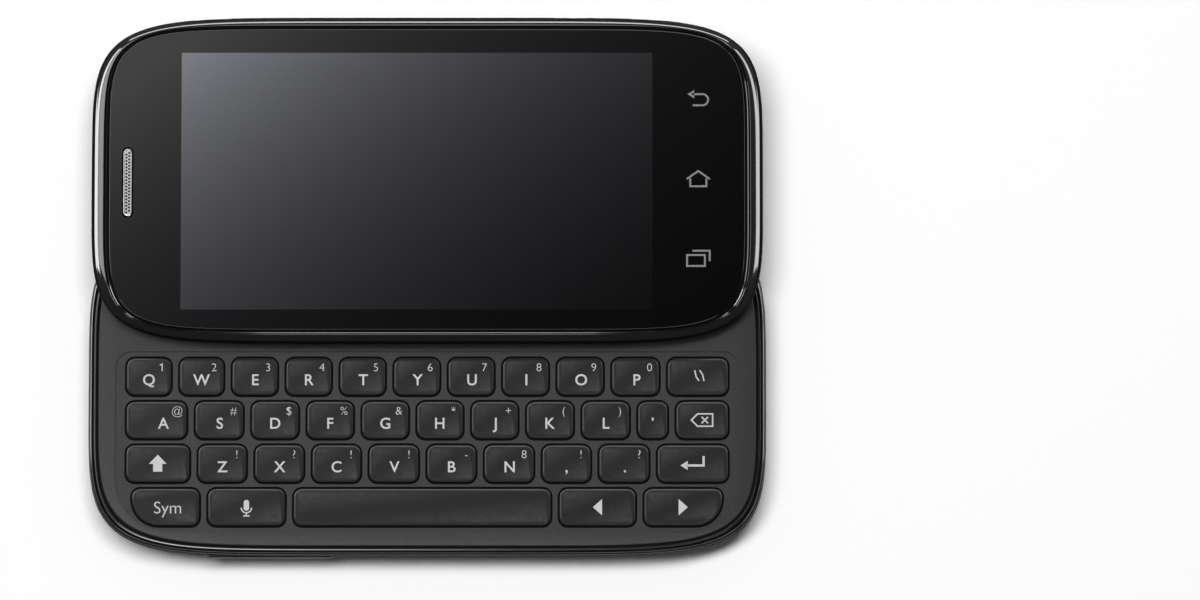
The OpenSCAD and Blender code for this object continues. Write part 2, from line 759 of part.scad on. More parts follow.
// Back shell: a tray with a soft lower edge, a seat for the panel, a hollow and the rods' channels
module display_back() {
    seat = [display_a - 12, display_b - 4.4];
    hollow = [rod_offset - channel_width / 2 - 1.2, panel_width / 2 - 2];
    color("#3a3c40") translate([0, display_y, 0]) difference() {
        union() {
            loft([
                at_height(display_outline(1.5), back_bottom),
                at_height(display_outline(0.8), back_bottom + 0.25),
                at_height(display_outline(0.3), back_bottom + 0.8),
                at_height(display_outline(0.1), back_rim)
            ]);
            plate(rounded([-seat.x, -seat.y], [seat.x, seat.y], [3, 3, 3, 3], 4), back_rim - 0.5, tray_top);
        }
        plate(rounded([-hollow.x, -hollow.y], [hollow.x, hollow.y], [2, 2, 2, 2], 4),
              back_bottom + back_wall, tray_top + cut);
        for (side = [-1, 1])
            translate([side * rod_offset, 0, 0]) {
                translate([-channel_width / 2, -channel_half, back_bottom - cut])
                    cube([channel_width, 2 * channel_half, channel_top - back_bottom + cut]);
                translate([0, -rod_half, rod_z]) rotate([-90, 0, 0])
                    cylinder(h = 2 * rod_half, d = rod_diameter + 0.02, $fn = smooth);
            }
    }
}

// Gloss rim round the glass, with the ledge that the glass lies on and the finger reliefs
module display_bezel() {
    color("#0d0d0f") translate([0, display_y, 0]) difference() {
        hoop([
            at_height(display_outline(0.1), bezel_bottom),
            at_height(display_outline(0), bezel_bottom + 0.7),
            at_height(display_outline(0.15), bezel_top - 1.2),
            at_height(display_outline(0.6), bezel_top - 0.45),
            at_height(display_outline(1.4), bezel_top - 0.05),
            at_height(glass_outline(-fit), bezel_top),
            at_height(glass_outline(-fit), glass_bottom - 0.03),
            at_height(glass_outline(glass_ledge), glass_bottom - 0.03),
            at_height(glass_outline(glass_ledge), bezel_bottom)
        ]);
        for (relief = RELIEFS) {
            radius = (pow(relief[1] / 2, 2) + pow(relief_depth, 2)) / (2 * relief_depth);
            edge = outline_y(relief[0], display_a, display_b, body_power);
            translate([relief[0], edge - relief_depth + radius, bezel_top - 1.6])
                cylinder(h = 1.6 + cut, r = radius, $fn = 4 * smooth);
        }
    }
}

earpiece_middle = [-glass_length / 2 + earpiece_inset, -0.6];

module front_glass() {
    color("#0b0c0e") translate([0, display_y, 0]) difference() {
        loft([
            at_height(glass_outline(0), glass_bottom),
            at_height(glass_outline(0), glass_top - glass_edge),
            at_height(glass_outline(glass_edge * 0.3), glass_top - glass_edge * 0.3),
            at_height(glass_outline(glass_edge), glass_top)
        ]);
        slot(earpiece_middle, earpiece_length + 2 * fit, earpiece_width + 2 * fit,
             glass_bottom - cut, glass_top + cut);
    }
}

module display_panel() {
    half = [panel_length / 2, panel_width / 2];
    color("#1c2733") translate([-panel_shift, display_y, 0])
        plate(rounded([-half.x, -half.y], [half.x, half.y], [0.8, 0.8, 0.8, 0.8]), panel_bottom, panel_top);
}

// Earpiece grille: a bright strip with two staggered columns of holes
module earpiece_grille() {
    holes = 18;
    pitch = (earpiece_length - 1.2) / holes;
    color("#b5b7ba") translate([0, display_y, 0]) difference() {
        slot(earpiece_middle, earpiece_length, earpiece_width, glass_bottom, glass_top - 0.1);
        for (column = [-1, 1])
            for (i = [0:holes - 1])
                translate([earpiece_middle.x + column * earpiece_width * 0.2,
                           earpiece_middle.y + (i - (holes - 1) / 2 + column / 4) * pitch,
                           glass_bottom - cut])
                    cylinder(h = glass_thickness + 2 * cut, r = pitch * 0.3, $fn = 6);
    }
}

module guide_rods() {
    color("#c4c6c9")
        for (side = [-1, 1])
            translate([side * rod_offset, display_y - rod_half, rod_z]) rotate([-90, 0, 0])
                cylinder(h = 2 * rod_half, d = rod_diameter, $fn = smooth);
}

rear_cover();
base_frame();
keyboard_faceplate();
keypad_mat();
main_board();
battery();
camera_module();
camera_ring();
camera_window();
loudspeaker();
headphone_socket();
usb_socket();
slide_carriage();
base_screws();
volume_rocker();
power_key();
camera_key();
display_back();
display_bezel();
front_glass();
display_panel();
earpiece_grille();
guide_rods();
for (k = [0:len(KEY_NAMES) - 1])
    key_cap(KEY_BOXES[k]);
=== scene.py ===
"""A side-sliding phone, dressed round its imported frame: slid open, lying on its back, seen from the front."""
import math

import bmesh
import bpy
from mathutils import Matrix, Vector


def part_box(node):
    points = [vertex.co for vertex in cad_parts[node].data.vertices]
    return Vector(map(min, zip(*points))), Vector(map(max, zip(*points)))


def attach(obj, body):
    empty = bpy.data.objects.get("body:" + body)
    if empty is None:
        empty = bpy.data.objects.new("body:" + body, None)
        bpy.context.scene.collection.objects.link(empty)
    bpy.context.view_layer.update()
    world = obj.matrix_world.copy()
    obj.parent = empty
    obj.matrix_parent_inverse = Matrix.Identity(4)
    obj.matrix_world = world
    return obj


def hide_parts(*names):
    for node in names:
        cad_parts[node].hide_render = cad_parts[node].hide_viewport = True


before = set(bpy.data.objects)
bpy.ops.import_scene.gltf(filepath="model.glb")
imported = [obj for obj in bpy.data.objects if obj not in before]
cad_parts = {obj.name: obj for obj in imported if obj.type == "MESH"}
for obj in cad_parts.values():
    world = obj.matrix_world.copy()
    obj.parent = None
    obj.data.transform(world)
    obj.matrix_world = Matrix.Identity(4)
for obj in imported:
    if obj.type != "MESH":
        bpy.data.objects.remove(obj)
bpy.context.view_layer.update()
MM = 0.001


# ---------------------------------------------------------------- rear cover
# The cover is one moulded shell, painted matte graphite with a fine speckle. It is flat in the middle,
# sweeps up to the seam, and has holes for the camera, the microphone and the loudspeaker.

BODY_POWER = (7, 5)
COVER_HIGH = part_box("rear_cover")[1]
FRAME_LOW, FRAME_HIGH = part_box("base_frame")
BASE_HALF = (FRAME_HIGH[0] / MM, FRAME_HIGH[1] / MM)
COVER_WALL = 1.0
COVER_FLAT_INSET = 9.5
COVER_RIM_INSET = BASE_HALF[1] - COVER_HIGH[1] / MM
COVER_TOP = COVER_HIGH[2] / MM
CAMERA = (-43.5, 0.0)
CAMERA_OPENING = {"half": 5.45, "radius": 3.9}
MIC_HOLE = {"middle": (-43.5, -10.0), "radius": 0.5}
SPEAKER_SLOTS = {"middles": ((47.4, -14.1), (50.2, -14.1)), "half": (0.7, 3.9)}
THROUGH_COVER = (-1, 2)
JACK = {"y": 15.0, "z": 4.3, "radius": 2.4, "outside": -66.0, "end": -48.8}
GRAIN_SPREAD = (0.35, 0.65)


def soft_outline(half_x, half_y, power, count=88):
    """Points of the soft outline |x/a|^px + |y/b|^py = 1, in millimetres, closer where it bends."""
    curve = [(half_x * math.cos(t) ** (2 / power[0]), half_y * math.sin(t) ** (2 / power[1]))
             for t in (math.pi / 2 * (i + 0.5) / 2400 for i in range(2400))]
    legs = [(b[0] - a[0], b[1] - a[1]) for a, b in zip(curve, curve[1:])]
    whole = sum(math.hypot(*leg) for leg in legs)
    travel = [0.0]
    for before, leg in zip(legs[:1] + legs, legs):
        bend = math.atan2(before[0] * leg[1] - before[1] * leg[0], before[0] * leg[0] + before[1] * leg[1])
        travel.append(travel[-1] + math.hypot(*leg) / whole + bend * 2 / math.pi)
    corner, at = [], 0
    for i in range(count):
        goal = travel[-1] * (i + 0.5) / count
        while travel[at + 1] < goal:
            at += 1
        share = (goal - travel[at]) / (travel[at + 1] - travel[at])
        corner.append(tuple(a + (b - a) * share for a, b in zip(curve[at], curve[at + 1])))
    return (corner + [(-x, y) for x, y in corner[::-1]] + [(-x, -y) for x, y in corner]
            + [(x, -y) for x, y in corner[::-1]])


def rounded_outline(half_x, half_y, radius, steps=10):
    """Points of a rectangle with round corners, in millimetres."""
    points = []
    for quarter in range(4):
        side_x = 1 if quarter in (0, 3) else -1
        side_y = 1 if quarter < 2 else -1
        for step in range(steps + 1):
            turn = math.pi / 2 * (quarter + step / steps)
            points.append((
                side_x * (half_x - radius) + radius * math.cos(turn),
                side_y * (half_y - radius) + radius * math.sin(turn),
            ))
    return points


def slot_outline(half_x, half_y, steps=10):
    """Points of a slot with round ends, in millimetres; the radius is kept just short of a half circle."""
    return rounded_outline(half_x, half_y, min(half_x, half_y) - 0.001, steps)


def add_ring(bm, outline, height, centre=(0.0, 0.0)):
    """Adds a ring of points at a height, in millimetres, and returns its vertices."""
    return [bm.verts.new(((x + centre[0]) * MM, (y + centre[1]) * MM, height * MM)) for x, y in outline]


def soft_rings(bm, half, power, profile, centre=(0.0, 0.0)):
    """Adds one soft outline for each inset and height of a profile, and returns the rings."""
    return [
        add_ring(bm, soft_outline(half[0] - inset, half[1] - inset, power), height, centre)
        for inset, height in profile
    ]


def loft(bm, rings, hoop=False):
    """Faces from ring to ring, closed with caps or into a hoop; rings run to the left going up outside."""
    for lower, upper in zip(rings, rings[1:] + (rings[:1] if hoop else [])):
        for i in range(len(lower)):
            bm.faces.new((lower[i - 1], lower[i], upper[i], upper[i - 1]))
    if not hoop:
        bm.faces.new(rings[0][::-1])
        bm.faces.new(rings[-1])


def mark_sharp(bm, angle=32):
    """Shades every face smooth, but keeps edges sharper than the angle crisp."""
    for face in bm.faces:
        face.smooth = True
    for edge in bm.edges:
        if len(edge.link_faces) == 2:
            edge.smooth = edge.calc_face_angle(0) < math.radians(angle)


def even_normals(piece):
    """Keeps large flat faces flat where a small rounded edge meets them."""
    weighted = piece.modifiers.new("even_normals", "WEIGHTED_NORMAL")
    weighted.keep_sharp = True
    weighted.weight = 100


def add_piece(name, bm, *materials, flat=True):
    """Makes an object of a bmesh, its faces pointing outwards, with its materials."""
    bmesh.ops.remove_doubles(bm, verts=bm.verts, dist=1e-7)
    if bm.calc_volume(signed=True) < 0:
        bmesh.ops.reverse_faces(bm, faces=bm.faces)
    mark_sharp(bm)
    mesh = bpy.data.meshes.new(name)
    bm.to_mesh(mesh)
    bm.free()
    piece = bpy.data.objects.new(name, mesh)
    bpy.context.scene.collection.objects.link(piece)
    for material in materials:
        mesh.materials.append(material)
    if flat:
        even_normals(piece)
    return piece


def cut_out(piece, cutters):
    """Cuts the closed shapes of one bmesh out of a piece."""
    mesh = bpy.data.meshes.new(piece.name + "_cutter")
    cutters.to_mesh(mesh)
    cutters.free()
    cutter = bpy.data.objects.new(mesh.name, mesh)
    bpy.context.scene.collection.objects.link(cutter)
    flat = len(piece.modifiers) > 0
    piece.modifiers.clear()
    boolean = piece.modifiers.new("openings", "BOOLEAN")
    boolean.operation = "DIFFERENCE"
    boolean.solver = "EXACT"
    boolean.object = cutter
    bpy.context.view_layer.update()
    graph = bpy.context.evaluated_depsgraph_get()
    result = bpy.data.meshes.new_from_object(piece.evaluated_get(graph))
    piece.modifiers.clear()
    old, piece.data = piece.data, result
    bpy.data.meshes.remove(old)
    bpy.data.objects.remove(cutter)
    bpy.data.meshes.remove(mesh)
    bm = bmesh.new()
    bm.from_mesh(piece.data)
    mark_sharp(bm)
    bm.to_mesh(piece.data)
    bm.free()
    if flat:
        even_normals(piece)


def add_prism(bm, outline, low, high, centre=(0.0, 0.0)):
    """Adds a closed upright prism to a bmesh, in millimetres."""
    loft(bm, [add_ring(bm, outline, low, centre), add_ring(bm, outline, high, centre)])


def add_box(bm, low, high):
    """Adds a closed block between two corners to a bmesh, in metres."""
    middle = [(a + b) / 2 for a, b in zip(low, high)]
    span = [b - a for a, b in zip(low, high)]
    bmesh.ops.create_cube(bm, size=1.0, matrix=Matrix.Translation(middle) @ Matrix.Diagonal((*span, 1)))


def add_rod(bm, middle, radius, length, segments, turn=Matrix.Identity(4)):
    """Adds a closed round rod to a bmesh, upright unless it is turned, in millimetres."""
    bmesh.ops.create_cone(
        bm, cap_ends=True, segments=segments, radius1=radius * MM, radius2=radius * MM, depth=length * MM,
        matrix=Matrix.Translation([axis * MM for axis in middle]) @ turn,
    )


def add_jack_bore(bm):
    """Adds the bore of the headphone socket, which comes in from the end of the phone, to a bmesh."""
    middle = ((JACK["outside"] + JACK["end"]) / 2, JACK["y"], JACK["z"])
    along_x = Matrix.Rotation(math.pi / 2, 4, "Y")
    add_rod(bm, middle, JACK["radius"], JACK["end"] - JACK["outside"], 40, along_x)


def grain_group():
    """A shader group: fine even grain as a mask, and as a normal for the shader."""
    group = bpy.data.node_groups.new("fine_grain", "ShaderNodeTree")
    for socket, default in (("Scale", 6000.0), ("Depth", 0.00001), ("Strength", 0.3)):
        entry = group.interface.new_socket(socket, in_out="INPUT", socket_type="NodeSocketFloat")
        entry.default_value = default
    group.interface.new_socket("Mask", in_out="OUTPUT", socket_type="NodeSocketFloat")
    group.interface.new_socket("Normal", in_out="OUTPUT", socket_type="NodeSocketVector")
    nodes, links = group.nodes, group.links
    inputs, outputs = nodes.new("NodeGroupInput"), nodes.new("NodeGroupOutput")
    place = nodes.new("ShaderNodeTexCoord")
    noise, bump = nodes.new("ShaderNodeTexNoise"), nodes.new("ShaderNodeBump")
    noise.inputs["Detail"].default_value = 3
    noise.inputs["Roughness"].default_value = 0.7
    links.new(place.outputs["Object"], noise.inputs["Vector"])
    links.new(inputs.outputs["Scale"], noise.inputs["Scale"])
    links.new(noise.outputs["Fac"], bump.inputs["Height"])
    links.new(inputs.outputs["Depth"], bump.inputs["Distance"])
    links.new(inputs.outputs["Strength"], bump.inputs["Strength"])
    links.new(noise.outputs["Fac"], outputs.inputs["Mask"])
    links.new(bump.outputs["Normal"], outputs.inputs["Normal"])
    return group


def wear_and_highlight_group():
    """A shader group: a mask of the raised edges, broken up as handling wears them; the lighter colour laid
    there is partly wear and partly a painted highlight.
    """
    group = bpy.data.node_groups.new("edge_wear_and_highlight", "ShaderNodeTree")
    amount = group.interface.new_socket("Amount", in_out="INPUT", socket_type="NodeSocketFloat")
    amount.default_value = 0.3
    group.interface.new_socket("Mask", in_out="OUTPUT", socket_type="NodeSocketFloat")
    nodes, links = group.nodes, group.links
    inputs, outputs = nodes.new("NodeGroupInput"), nodes.new("NodeGroupOutput")
    place, shape = nodes.new("ShaderNodeTexCoord"), nodes.new("ShaderNodeNewGeometry")
    noise = nodes.new("ShaderNodeTexNoise")
    noise.inputs["Scale"].default_value = 900
    noise.inputs["Detail"].default_value = 4
    edge = nodes.new("ShaderNodeMapRange")
    edge.inputs["From Min"].default_value = 0.52
    edge.inputs["From Max"].default_value = 0.62
    broken, scaled = nodes.new("ShaderNodeMath"), nodes.new("ShaderNodeMath")
    broken.operation = scaled.operation = "MULTIPLY"
    links.new(place.outputs["Object"], noise.inputs["Vector"])
    links.new(shape.outputs["Pointiness"], edge.inputs["Value"])
    links.new(edge.outputs["Result"], broken.inputs[0])
    links.new(noise.outputs["Fac"], broken.inputs[1])
    links.new(broken.outputs["Value"], scaled.inputs[0])
    links.new(inputs.outputs["Amount"], scaled.inputs[1])
    links.new(scaled.outputs["Value"], outputs.inputs["Mask"])
    return group


FINE_GRAIN = grain_group()
EDGE_WEAR_AND_HIGHLIGHT = wear_and_highlight_group()


def node_parts(owner):
    """Turns on the shader nodes of a material or a world, and returns its nodes and links."""
    owner.use_nodes = True
    return owner.node_tree.nodes, owner.node_tree.links


def grain_node(nodes, grain):
    """A node of the fine grain with its scale, depth and strength."""
    fine = nodes.new("ShaderNodeGroup")
    fine.node_tree = FINE_GRAIN
    for socket, value in zip(("Scale", "Depth", "Strength"), grain):
        fine.inputs[socket].default_value = value
    return fine


def colour_ramp(nodes, colours, positions=(0.0, 1.0)):
    """A node that blends from one colour to another between two positions."""
    ramp = nodes.new("ShaderNodeValToRGB")
    for element, colour, position in zip(ramp.color_ramp.elements, colours, positions):
        element.position = position
        element.color = (*colour, 1)
    return ramp


def finish(name, dark, light, roughness, grain=(6000.0, 0.00001, 0.3), wear_and_highlight=0.0, metallic=0.0, gloss=0.0,
           rough_spread=0.06, specular=0.5):
    """A material whose colour and roughness vary with a fine grain and whose raised edges can be lightened,
    partly as wear and partly as a painted highlight.
    """
    material = bpy.data.materials.new(name)
    nodes, links = node_parts(material)
    shader = nodes["Principled BSDF"]
    shader.inputs["Metallic"].default_value = metallic
    shader.inputs["Specular IOR Level"].default_value = specular
    shader.inputs["Coat Weight"].default_value = gloss
    shader.inputs["Coat Roughness"].default_value = 0.04
    fine = grain_node(nodes, grain)
    ramp = colour_ramp(nodes, (dark, light), GRAIN_SPREAD)
    rough = nodes.new("ShaderNodeMapRange")
    rough.inputs["To Min"].default_value = roughness - rough_spread
    rough.inputs["To Max"].default_value = roughness + rough_spread
    links.new(fine.outputs["Mask"], ramp.inputs["Fac"])
    links.new(fine.outputs["Mask"], rough.inputs["Value"])
    links.new(rough.outputs["Result"], shader.inputs["Roughness"])
    links.new(fine.outputs["Normal"], shader.inputs["Normal"])
    # Raised edges are lightened here: partly wear, partly a painted highlight.
    if wear_and_highlight:
        worn_and_lit, mix = nodes.new("ShaderNodeGroup"), nodes.new("ShaderNodeMix")
        worn_and_lit.node_tree = EDGE_WEAR_AND_HIGHLIGHT
        worn_and_lit.inputs["Amount"].default_value = wear_and_highlight
        mix.data_type = "RGBA"
        mix.inputs["B"].default_value = (*[min(1.0, 4 * c + 0.03) for c in light], 1)
        links.new(worn_and_lit.outputs["Mask"], mix.inputs["Factor"])
        links.new(ramp.outputs["Color"], mix.inputs["A"])
        links.new(mix.outputs["Result"], shader.inputs["Base Color"])
    else:
        links.new(ramp.outputs["Color"], shader.inputs["Base Color"])
    return material


def cover_profile(steps=14, sweep=76):
    """The cover's section from the flat to the seam, as pairs of inset and height."""
    full = math.radians(sweep)
    profile = []
    for step in range(steps + 1):
        turn = full * step / steps
        inset = COVER_FLAT_INSET - (COVER_FLAT_INSET - COVER_RIM_INSET) * math.sin(turn) / math.sin(full)
        profile.append((inset, COVER_TOP * (1 - math.cos(turn)) / (1 - math.cos(full))))
    return profile


graphite = finish("graphite_paint", (0.030, 0.031, 0.034), (0.066, 0.068, 0.073), 0.42,
                  grain=(9000.0, 0.000012, 0.35), metallic=0.35, rough_spread=0.08)

bm = bmesh.new()
outer = cover_profile()
inner = [(inset + COVER_WALL, min(height + COVER_WALL, COVER_TOP)) for inset, height in reversed(outer)]
loft(bm, soft_rings(bm, BASE_HALF, BODY_POWER, outer + inner))
rear_cover = add_piece("rear_cover_shell", bm, graphite)
cutters = bmesh.new()
camera_hole = rounded_outline(CAMERA_OPENING["half"], CAMERA_OPENING["half"], CAMERA_OPENING["radius"])
add_prism(cutters, camera_hole, *THROUGH_COVER, CAMERA)
add_prism(cutters, slot_outline(MIC_HOLE["radius"], MIC_HOLE["radius"]), *THROUGH_COVER, MIC_HOLE["middle"])
for middle in SPEAKER_SLOTS["middles"]:
    add_prism(cutters, slot_outline(*SPEAKER_SLOTS["half"]), *THROUGH_COVER, middle)
add_jack_bore(cutters)
cut_out(rear_cover, cutters)
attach(rear_cover, "base")
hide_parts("rear_cover")


# ---------------------------------------------------------------- camera
# A bright metal ring is let into the cover round a dark window. Behind the window lies the lens in its
# stepped barrel. The ring is turned and polished.

chrome = finish("bright_ring", (0.62, 0.63, 0.65), (0.80, 0.81, 0.83), 0.12,
                grain=(5000.0, 0.000004, 0.2), metallic=1.0, rough_spread=0.05)
window_black = finish("window_black", (0.004, 0.004, 0.005), (0.008, 0.008, 0.010), 0.07,
                      grain=(1500.0, 0.000001, 0.1), gloss=1.0, rough_spread=0.03)
lens_grey = finish("lens_barrel", (0.05, 0.052, 0.058), (0.10, 0.104, 0.112), 0.28,
                   grain=(4000.0, 0.000004, 0.2), metallic=0.6)

RING_PROFILE = ((4.42, 1.1), (4.42, 0.8), (4.48, 0.42), (4.58, 0.2), (4.75, 0.09), (4.95, 0.06),
                (5.15, 0.09), (5.33, 0.2), (5.4, 0.4), (5.4, 1.1))
WINDOW_PROFILE = ((4.1, 0.4), (4.25, 0.42), (4.35, 0.5), (4.35, 1.0))
CAMERA_ROUNDING = 0.72
LENS_HOLE = 2.3


def camera_rings(bm, profile):
    """Adds one round-cornered square for each half width and height of a profile, and returns the rings."""
    return [add_ring(bm, rounded_outline(half, half, half * CAMERA_ROUNDING), height, CAMERA)
            for half, height in profile]


bm = bmesh.new()
loft(bm, camera_rings(bm, RING_PROFILE), hoop=True)
camera_ring = add_piece("camera_ring_bright", bm, chrome)
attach(camera_ring, "base")
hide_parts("camera_ring")

bm = bmesh.new()
loft(bm, camera_rings(bm, WINDOW_PROFILE))
camera_window = add_piece("camera_window_plate", bm, window_black)
cutters = bmesh.new()
add_rod(cutters, (*CAMERA, 0), LENS_HOLE, 4, 64)
cut_out(camera_window, cutters)
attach(camera_window, "base")
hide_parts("camera_window")

# The lens is spun: a chamfered collar, two steps, a dark funnel and the domed front element.
LENS_PROFILE = ((2.28, 0.98), (2.28, 0.46), (2.1, 0.42), (1.95, 0.5), (1.95, 0.62), (1.7, 0.62), (1.62, 0.7),
                (1.3, 0.72), (1.22, 0.8), (1.0, 0.8))
DOME_PROFILE = ((0.9, 0.68), (0.7, 0.6), (0.4, 0.55), (0.0, 0.53))
DOME_RADIUS = 1.0
DARK_FUNNEL = (1.3, 1.62)


def spin_profile(bm, profile, segments=64):
    """Spins a section of radius and height pairs round the camera's axis."""
    verts = [bm.verts.new(((CAMERA[0] + r) * MM, CAMERA[1] * MM, z * MM)) for r, z in profile]
    edges = [bm.edges.new(pair) for pair in zip(verts, verts[1:])]
    bmesh.ops.spin(bm, geom=verts + edges, cent=(CAMERA[0] * MM, CAMERA[1] * MM, 0), axis=(0, 0, 1),
                   angle=2 * math.pi, steps=segments, use_merge=True, use_duplicate=False)


bm = bmesh.new()
spin_profile(bm, ((0.0, 0.98),) + LENS_PROFILE + DOME_PROFILE)
lens = add_piece("camera_lens", bm, lens_grey, window_black)
for face in lens.data.polygons:
    off = math.hypot(face.center[0] / MM - CAMERA[0], face.center[1] / MM - CAMERA[1])
    face.material_index = 1 if off < DOME_RADIUS or DARK_FUNNEL[0] < off < DARK_FUNNEL[1] else 0
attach(lens, "base")


# ---------------------------------------------------------------- frame of the keyboard half
# The side wall is moulded in one piece with the rim round the faceplate. The rim is polished. A groove parts
# the rim from a narrow inner band. The steep and low faces, the groove among them, are a matte near-black:
# painted shade. Openings in the wall take the side keys and the sockets, and pockets inside it give the flanges
# of keys room.

# Its raised edges are lightened a little, partly as wear and partly as a painted highlight.
gloss_black = finish("gloss_black", (0.0045, 0.0045, 0.005), (0.009, 0.009, 0.010), 0.08,
                     grain=(2500.0, 0.000001, 0.1), wear_and_highlight=0.1, gloss=1.0, rough_spread=0.02)
# A matte near-black, darker than the plastics round it, that paints shade on flanks, in grooves, in the gaps
# round keys and in openings.
painted_shade_black = finish("painted_shade_black", (0.0025, 0.0025, 0.0028), (0.005, 0.005, 0.0055), 0.55,
                     grain=(6000.0, 0.000006, 0.3), specular=0.05)
RIM_TOP = FRAME_HIGH[2] / MM
WALL_BOTTOM = FRAME_LOW[2] / MM
WALL_INSIDE = 3.2
DECK = (4.9, 5.3)
# Pairs of inset and drop below the rim's top: wall, rim, groove, inner band, and the faceplate's ledge.
RIM_SECTION = (
    (0.0, 0.85), (0.05, 0.55), (0.14, 0.3), (0.26, 0.14), (0.33, 0.085), (0.345, 0.075), (0.455, 0.029),
    (0.47, 0.022), (0.54, 0.0), (0.6, 0.03), (0.66, 0.12), (0.7, 0.5), (1.0, 0.5), (1.03, 0.2),
    (1.05, 0.13), (1.08, 0.112), (1.1, 0.11), (1.28, 0.09), (1.3, 0.089), (1.33, 0.1), (1.36, 0.14),
    (1.38, 0.5), (1.8, 0.5), (1.8, 0.95), (WALL_INSIDE, 0.95),
)
RIM_SHADE_DEPTH = 0.3
# Rooms, depths and corners of the openings and pockets, in metres.
OUTSIDE = BASE_HALF[1] * MM + 0.001
OPENING_DEPTH = 0.0056
OPENING_INSET = 0.0001
SOCKET_ROOM = {"behind": 0.0003, "round": 0.0001, "outside": 0.003}
CAMERA_ROOM = ((CAMERA[0] * MM - 0.0046, -0.0046, 0.0045), (CAMERA[0] * MM + 0.0046, 0.0046, 0.0057))
FLANGE_ROOM = 0.0001
FLANGE_FACE = 0.02795
FLANGE_THICKNESS = 0.0002
PRESS_ROOM = 0.0004
SIDE_KEYS = ("power_key", "camera_key", "volume_rocker")
CORNER_KEYS = ("key_symbol", "key_right")


def paint_shade_on_low_faces(piece, height):
    """Gives the second material, the near-black painted shade, to the faces below a height, in millimetres, and
    to the steep ones.
    """
    for face in piece.data.polygons:
        if face.center[2] < height * MM or abs(face.normal[2]) < 0.3:
            face.material_index = 1


def quarter(start, end, steps, rises_first=True):
    """Points of a quarter ellipse from start to end, both pairs of inset and height."""
    points = []
    for step in range(steps + 1):
        turn = math.pi / 2 * step / steps
        slow, fast = 1 - math.cos(turn), math.sin(turn)
        across, up = (slow, fast) if rises_first else (fast, slow)
        points.append((start[0] + (end[0] - start[0]) * across, start[1] + (end[1] - start[1]) * up))
    return points


def below(top, pairs):
    """Turns pairs of inset and drop below a top into pairs of inset and height."""
    return [(inset, top - drop) for inset, drop in pairs]


wall_profile = (
    [(WALL_INSIDE, DECK[0]), (WALL_INSIDE, WALL_BOTTOM)]
    + quarter((1.3, WALL_BOTTOM), (0.0, 5.6), 8, rises_first=False)
    + below(RIM_TOP, RIM_SECTION)
    + [(WALL_INSIDE, DECK[1])]
)
bm = bmesh.new()
loft(bm, soft_rings(bm, BASE_HALF, BODY_POWER, wall_profile))
base_wall = add_piece("base_wall", bm, gloss_black, painted_shade_black, flat=False)
cutters = bmesh.new()
add_jack_bore(cutters)
for node in SIDE_KEYS:
    low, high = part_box(node)
    side = 1 if high[1] > 0 else -1
    reach = sorted((side * (OUTSIDE - OPENING_DEPTH), side * OUTSIDE))
    add_box(cutters, (low[0] + OPENING_INSET, reach[0], low[2] + OPENING_INSET),
            (high[0] - OPENING_INSET, reach[1], high[2] - OPENING_INSET))
low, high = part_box("usb_socket")
room = SOCKET_ROOM["round"]
add_box(cutters, (low[0] - SOCKET_ROOM["behind"], low[1] - room, low[2] - room),
        (high[0] + SOCKET_ROOM["outside"], high[1] + room, high[2] + room))
add_box(cutters, *CAMERA_ROOM)
cut_out(base_wall, cutters)
pockets = bmesh.new()
for node in SIDE_KEYS:
    low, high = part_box(node)
    reach = (low[1] - PRESS_ROOM, FLANGE_FACE) if high[1] > 0 else (-FLANGE_FACE, high[1] + PRESS_ROOM)
    add_box(pockets, (low[0] - FLANGE_ROOM, reach[0], low[2] - FLANGE_ROOM),
            (high[0] + FLANGE_ROOM, reach[1], high[2] + FLANGE_ROOM))
for node in CORNER_KEYS:
    low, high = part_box(node)
    add_box(pockets, (low[0] - FLANGE_ROOM, low[1] - FLANGE_ROOM, low[2] - PRESS_ROOM),
            (high[0] + FLANGE_ROOM, high[1] + FLANGE_ROOM, low[2] + FLANGE_THICKNESS + FLANGE_ROOM))
cut_out(base_wall, pockets)
# The faces below the polished band and the steep ones take the near-black painted shade.
paint_shade_on_low_faces(base_wall, RIM_TOP - RIM_SHADE_DEPTH)
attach(base_wall, "base")
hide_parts("base_frame")


# ---------------------------------------------------------------- faceplate
# A satin black moulding lies inside the rim. Its border slopes gently down to the rim, its well is sunk
# by 0.4 mm, and each key comes up through an opening of its own.

FACE_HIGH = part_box("keyboard_faceplate")[1]
FACE_HALF = (FACE_HIGH[0] / MM, FACE_HIGH[1] / MM)
FACE_TOP = FACE_HIGH[2] / MM
FACE_UNDER = FACE_TOP - 0.82
WELL = {"x": 58.0, "top": 7.0, "bottom": -26.7, "floor": FACE_TOP - 0.4, "upper": 3.0, "lower": 10.0}
KEY_ROWS = (
    ("q", "w", "e", "r", "t", "y", "u", "i", "o", "p", "backslash"),
    ("a", "s", "d", "f", "g", "h", "j", "k", "l", "quote", "backspace"),
    ("shift", "z", "x", "c", "v", "b", "n", "comma", "period", "enter"),
    ("symbol", "voice", "space", "left", "right"),
)
KEY_FLANGE = 0.4
KEY_OPENING = 0.34
KEY_CORNER = 1.55
END_CORNER = 5.0
CARRIAGE_ROOM = (0.0002, 0.0002, 0.00005)
PAINTED_SHADE_DEPTH = 0.6

# Its raised edges are lightened a little, partly as wear and partly as a painted highlight.
satin = finish("satin_faceplate", (0.026, 0.0263, 0.0270), (0.034, 0.0344, 0.0352), 0.28,
               grain=(7000.0, 0.000008, 0.3), wear_and_highlight=0.1, rough_spread=0.03, specular=0.32)


def arc(middle, radius, start, end, steps):
    """Points of an arc, its angles in degrees."""
    turns = [math.radians(start + (end - start) * i / steps) for i in range(steps + 1)]
    return [(middle[0] + radius * math.cos(t), middle[1] + radius * math.sin(t)) for t in turns]


